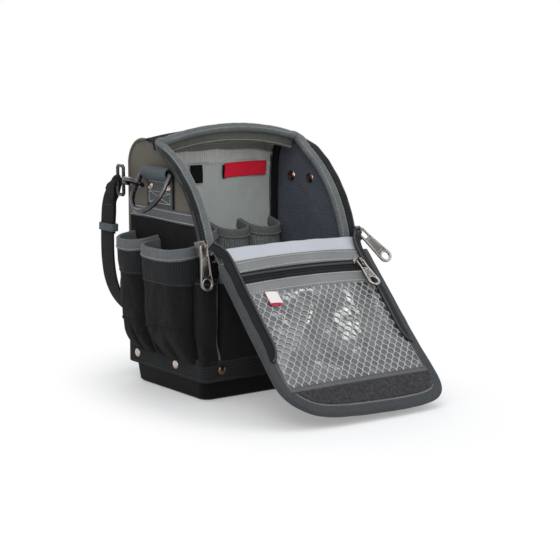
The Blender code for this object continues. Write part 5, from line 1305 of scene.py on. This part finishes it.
on_flap(thick_sheet("loop_pile_strip", loop_point, 190, 26, 1.2, PILE, None), {"loop_strip": 5})

# Bare tag in the pocket's upper seam
on_flap(thick_sheet("bare_tag", lambda s, t: flap(
    -44.0 - 14.0 * s - 1.2 * t, 59.2 + 14.5 * t - 1.5 * s,
    -2.6 - 2.6 * t ** 1.5 - 0.5 * math.sin(s * 3)), 12, 12, 0.5, TAG_WHITE, None))
on_flap(thick_sheet("bare_tag_lining", lambda s, t: flap(
    -44.4 - 13.4 * s - 1.2 * t, 59.6 + 15.4 * t - 1.5 * s, -2.0 - 1.6 * t), 12, 12, 0.4, LABEL, None))


# Raised edges of the pulls, in each pull's own plane: x across it, y up towards its pivot
def pull_trim(name, pivot, across, hang, length, body):
    pivot, across, up = Vector(pivot), Vector(across).normalized(), -Vector(hang).normalized()
    face = across.cross(up)
    far = 7.1 - length
    neck = [(-3.2, 0.4), (-4.1, -1.0), (-4.1, -9.5)]
    outline = neck + [(6.3 * math.cos(a), far + 6.3 * math.sin(a))
                      for a in (math.pi + math.pi * k / 12 for k in range(13))] + [(-x, y) for x, y in neck[::-1]]
    hole = [(5.2 * math.cos(TAU * k / 24), far + 5.2 * math.sin(TAU * k / 24)) for k in range(24)]
    slot_edge = [(-3.4, -2.0), (-3.4, -9.4), (-2.2, -11.2), (2.2, -11.2), (3.4, -9.4), (3.4, -2.0)]
    plate = [(-3.4, -13.2), (3.4, -13.2), (4.2, far + 7.6), (-4.2, far + 7.6)]
    corners = []
    for k, point in enumerate(plate):
        for other in (plate[k - 1], plate[(k + 1) % 4]):
            reach = math.dist(point, other)
            corners.append(tuple(a + (b - a) / reach for a, b in zip(point, other)))
    for which, flip in (("front", 1), ("back", -1)):
        for part, line, closed, thick in (("edge", outline, False, (1.3, 0.9)), ("ring", hole, True, (1.5, 1.1)),
                                          ("slot", slot_edge, False, (0.8, 0.7)), ("frame", corners, True, (0.7, 0.6))):
            path = [pivot + across * x + up * y + face * flip * 0.9 for x, y in line]
            if not closed:
                path = resample(path, 0.9)
            widths = []
            for k, point in enumerate(path):
                before = path[k - 1] if k or closed else point
                after = path[(k + 1) % len(path)] if k < len(path) - 1 or closed else point
                widths.append((after - before).normalized().cross(face))
            sweep(f"{name}_{part}_{which}", path, widths, round_section(*thick, None, 2), GUN_BRIGHT, body, closed)


away = Vector((0, math.cos(math.radians(165.4)), math.sin(math.radians(165.4))))
RIGHT_HANG = Vector((0.4997, -0.517, -0.695))
lift = math.radians(9.0)
pull_trim("pull_left_trim", (-97.4, -81.55, 159.35), (1, 0, 0), (0, -0.1564, -0.9877), 44.5, "zip_tab_left")
pull_trim("pull_right_trim", (97.4, -81.55, 159.35), away.cross(RIGHT_HANG), RIGHT_HANG, 44.5, "zip_tab_right")
pull_trim("pocket_pull_trim", (70, -115.36, 134.01), (1, 0, 0), DOWN * math.cos(lift) - OUT * math.sin(lift), 35.6,
          "pocket_tab")

# Shoulder strap: webbing that loops round each eye, hangs behind the bag and runs through its slide
EYES = [Vector((sign * 102.7, 69.55, 211.9)) for _, sign in SIDES]
STRAP_FALL, STRAP_STEP = math.radians(48.7), 3.0
FALL = Vector((0, math.cos(STRAP_FALL), -math.sin(STRAP_FALL)))
TOWARDS = Vector((0, -FALL.z, FALL.y))
half = [Vector(p) for p in (
    EYES[0] + FALL * 19.0, (-102.9, 87.5, 189.0), (-103.0, 90.5, 172.0), (-103.0, 92.0, 150.0), (-101.6, 93.5, 124.0),
    (-96.5, 95.0, 100.0), (-85.0, 96.5, 79.0), (-66.0, 97.6, 62.0), (-44.0, 98.0, 52.5), (-20.0, 98.05, 49.2),
    (0.0, 98.05, 48.9))]
strap_line = smooth_path(half + [Vector((-p.x, p.y, p.z)) for p in reversed(half[:-1])], STRAP_STEP)


def from_end(k):
    """The length of strap between point k and the nearer end."""
    return min(k, len(strap_line) - 1 - k) * STRAP_STEP


strap_widths = [Vector((0, 1, 0)).lerp(TOWARDS, 1 - smoothstep(0, 16, from_end(k))) for k in range(len(strap_line))]
strap = sweep("carrying_strap", strap_line, strap_widths, round_section(25, 2.3, 1.0, 3), STRAP, "strap",
              scale=lambda i, run: (0.76 + 0.24 * smoothstep(0, 22, from_end(i)), 1.0), nodes=("strap_webbing",))
END_LOOP = ((22, -2.0), (16, -2.6), (9, -3.5), (3, -3.9), (-1.5, -3.2), (-3.6, 0.0), (-1.5, 3.2), (3, 3.9), (9, 3.5),
            (16, 2.6), (22, 2.0))
for (side, sign), eye, order in zip(SIDES, EYES, (1, -1)):
    loop_line = smooth_path([eye + FALL * a + Vector((b, 0, 0)) for a, b in END_LOOP], 0.9)
    shares = [abs(k / (len(loop_line) - 1) - 0.5) * 2 for k in range(len(loop_line))]
    sweep(f"strap_end_loop_{side}", loop_line, TOWARDS, round_section(19, 1.7, 0.8, 2), STRAP, "strap",
          scale=lambda i, run, shares=shares: (0.42 + 0.58 * smoothstep(0.3, 0.85, shares[i]), 1.0))
    line, ways = strap_line[::order], strap_widths[::order]
    sweep(f"strap_end_tail_{side}", [p + Vector((-sign * 2.4, 0, 0)) for p in line[1:16]], ways[1:16],
          round_section(23, 2.0, 0.9, 2), STRAP, "strap",
          scale=lambda i, run: (0.8 + 0.2 * smoothstep(0, 20, run), 1.0))
    for where in (5, 13):
        middle = line[where] + Vector((-sign * 1.2, 0, 0))
        way = ways[where].normalized()
        along = tangent_at(line, where)
        thick = along.cross(way).normalized()
        if where == 5:
            stitches(f"strap_end_stitch_{side}", [
                ([middle + way * a + thick * (2.6 * face) for a in (-8, 8)], thick * face) for face in (-1, 1)],
                THREAD_DARK, 2.0, 3.0, 0.3, "strap")
        else:
            ring = [middle + way * a + thick * b for a, b in round_section(27.4, 7.4, 2.0, 3)]
            sweep(f"strap_keeper_{side}", ring, along, round_section(8.0, 1.3, 0.6, 2), TAB_GREY, "strap",
                  closed=True)

size = {"cad": [list(c) for c in cad_box]}
size["visual"] = [list(c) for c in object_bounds()]
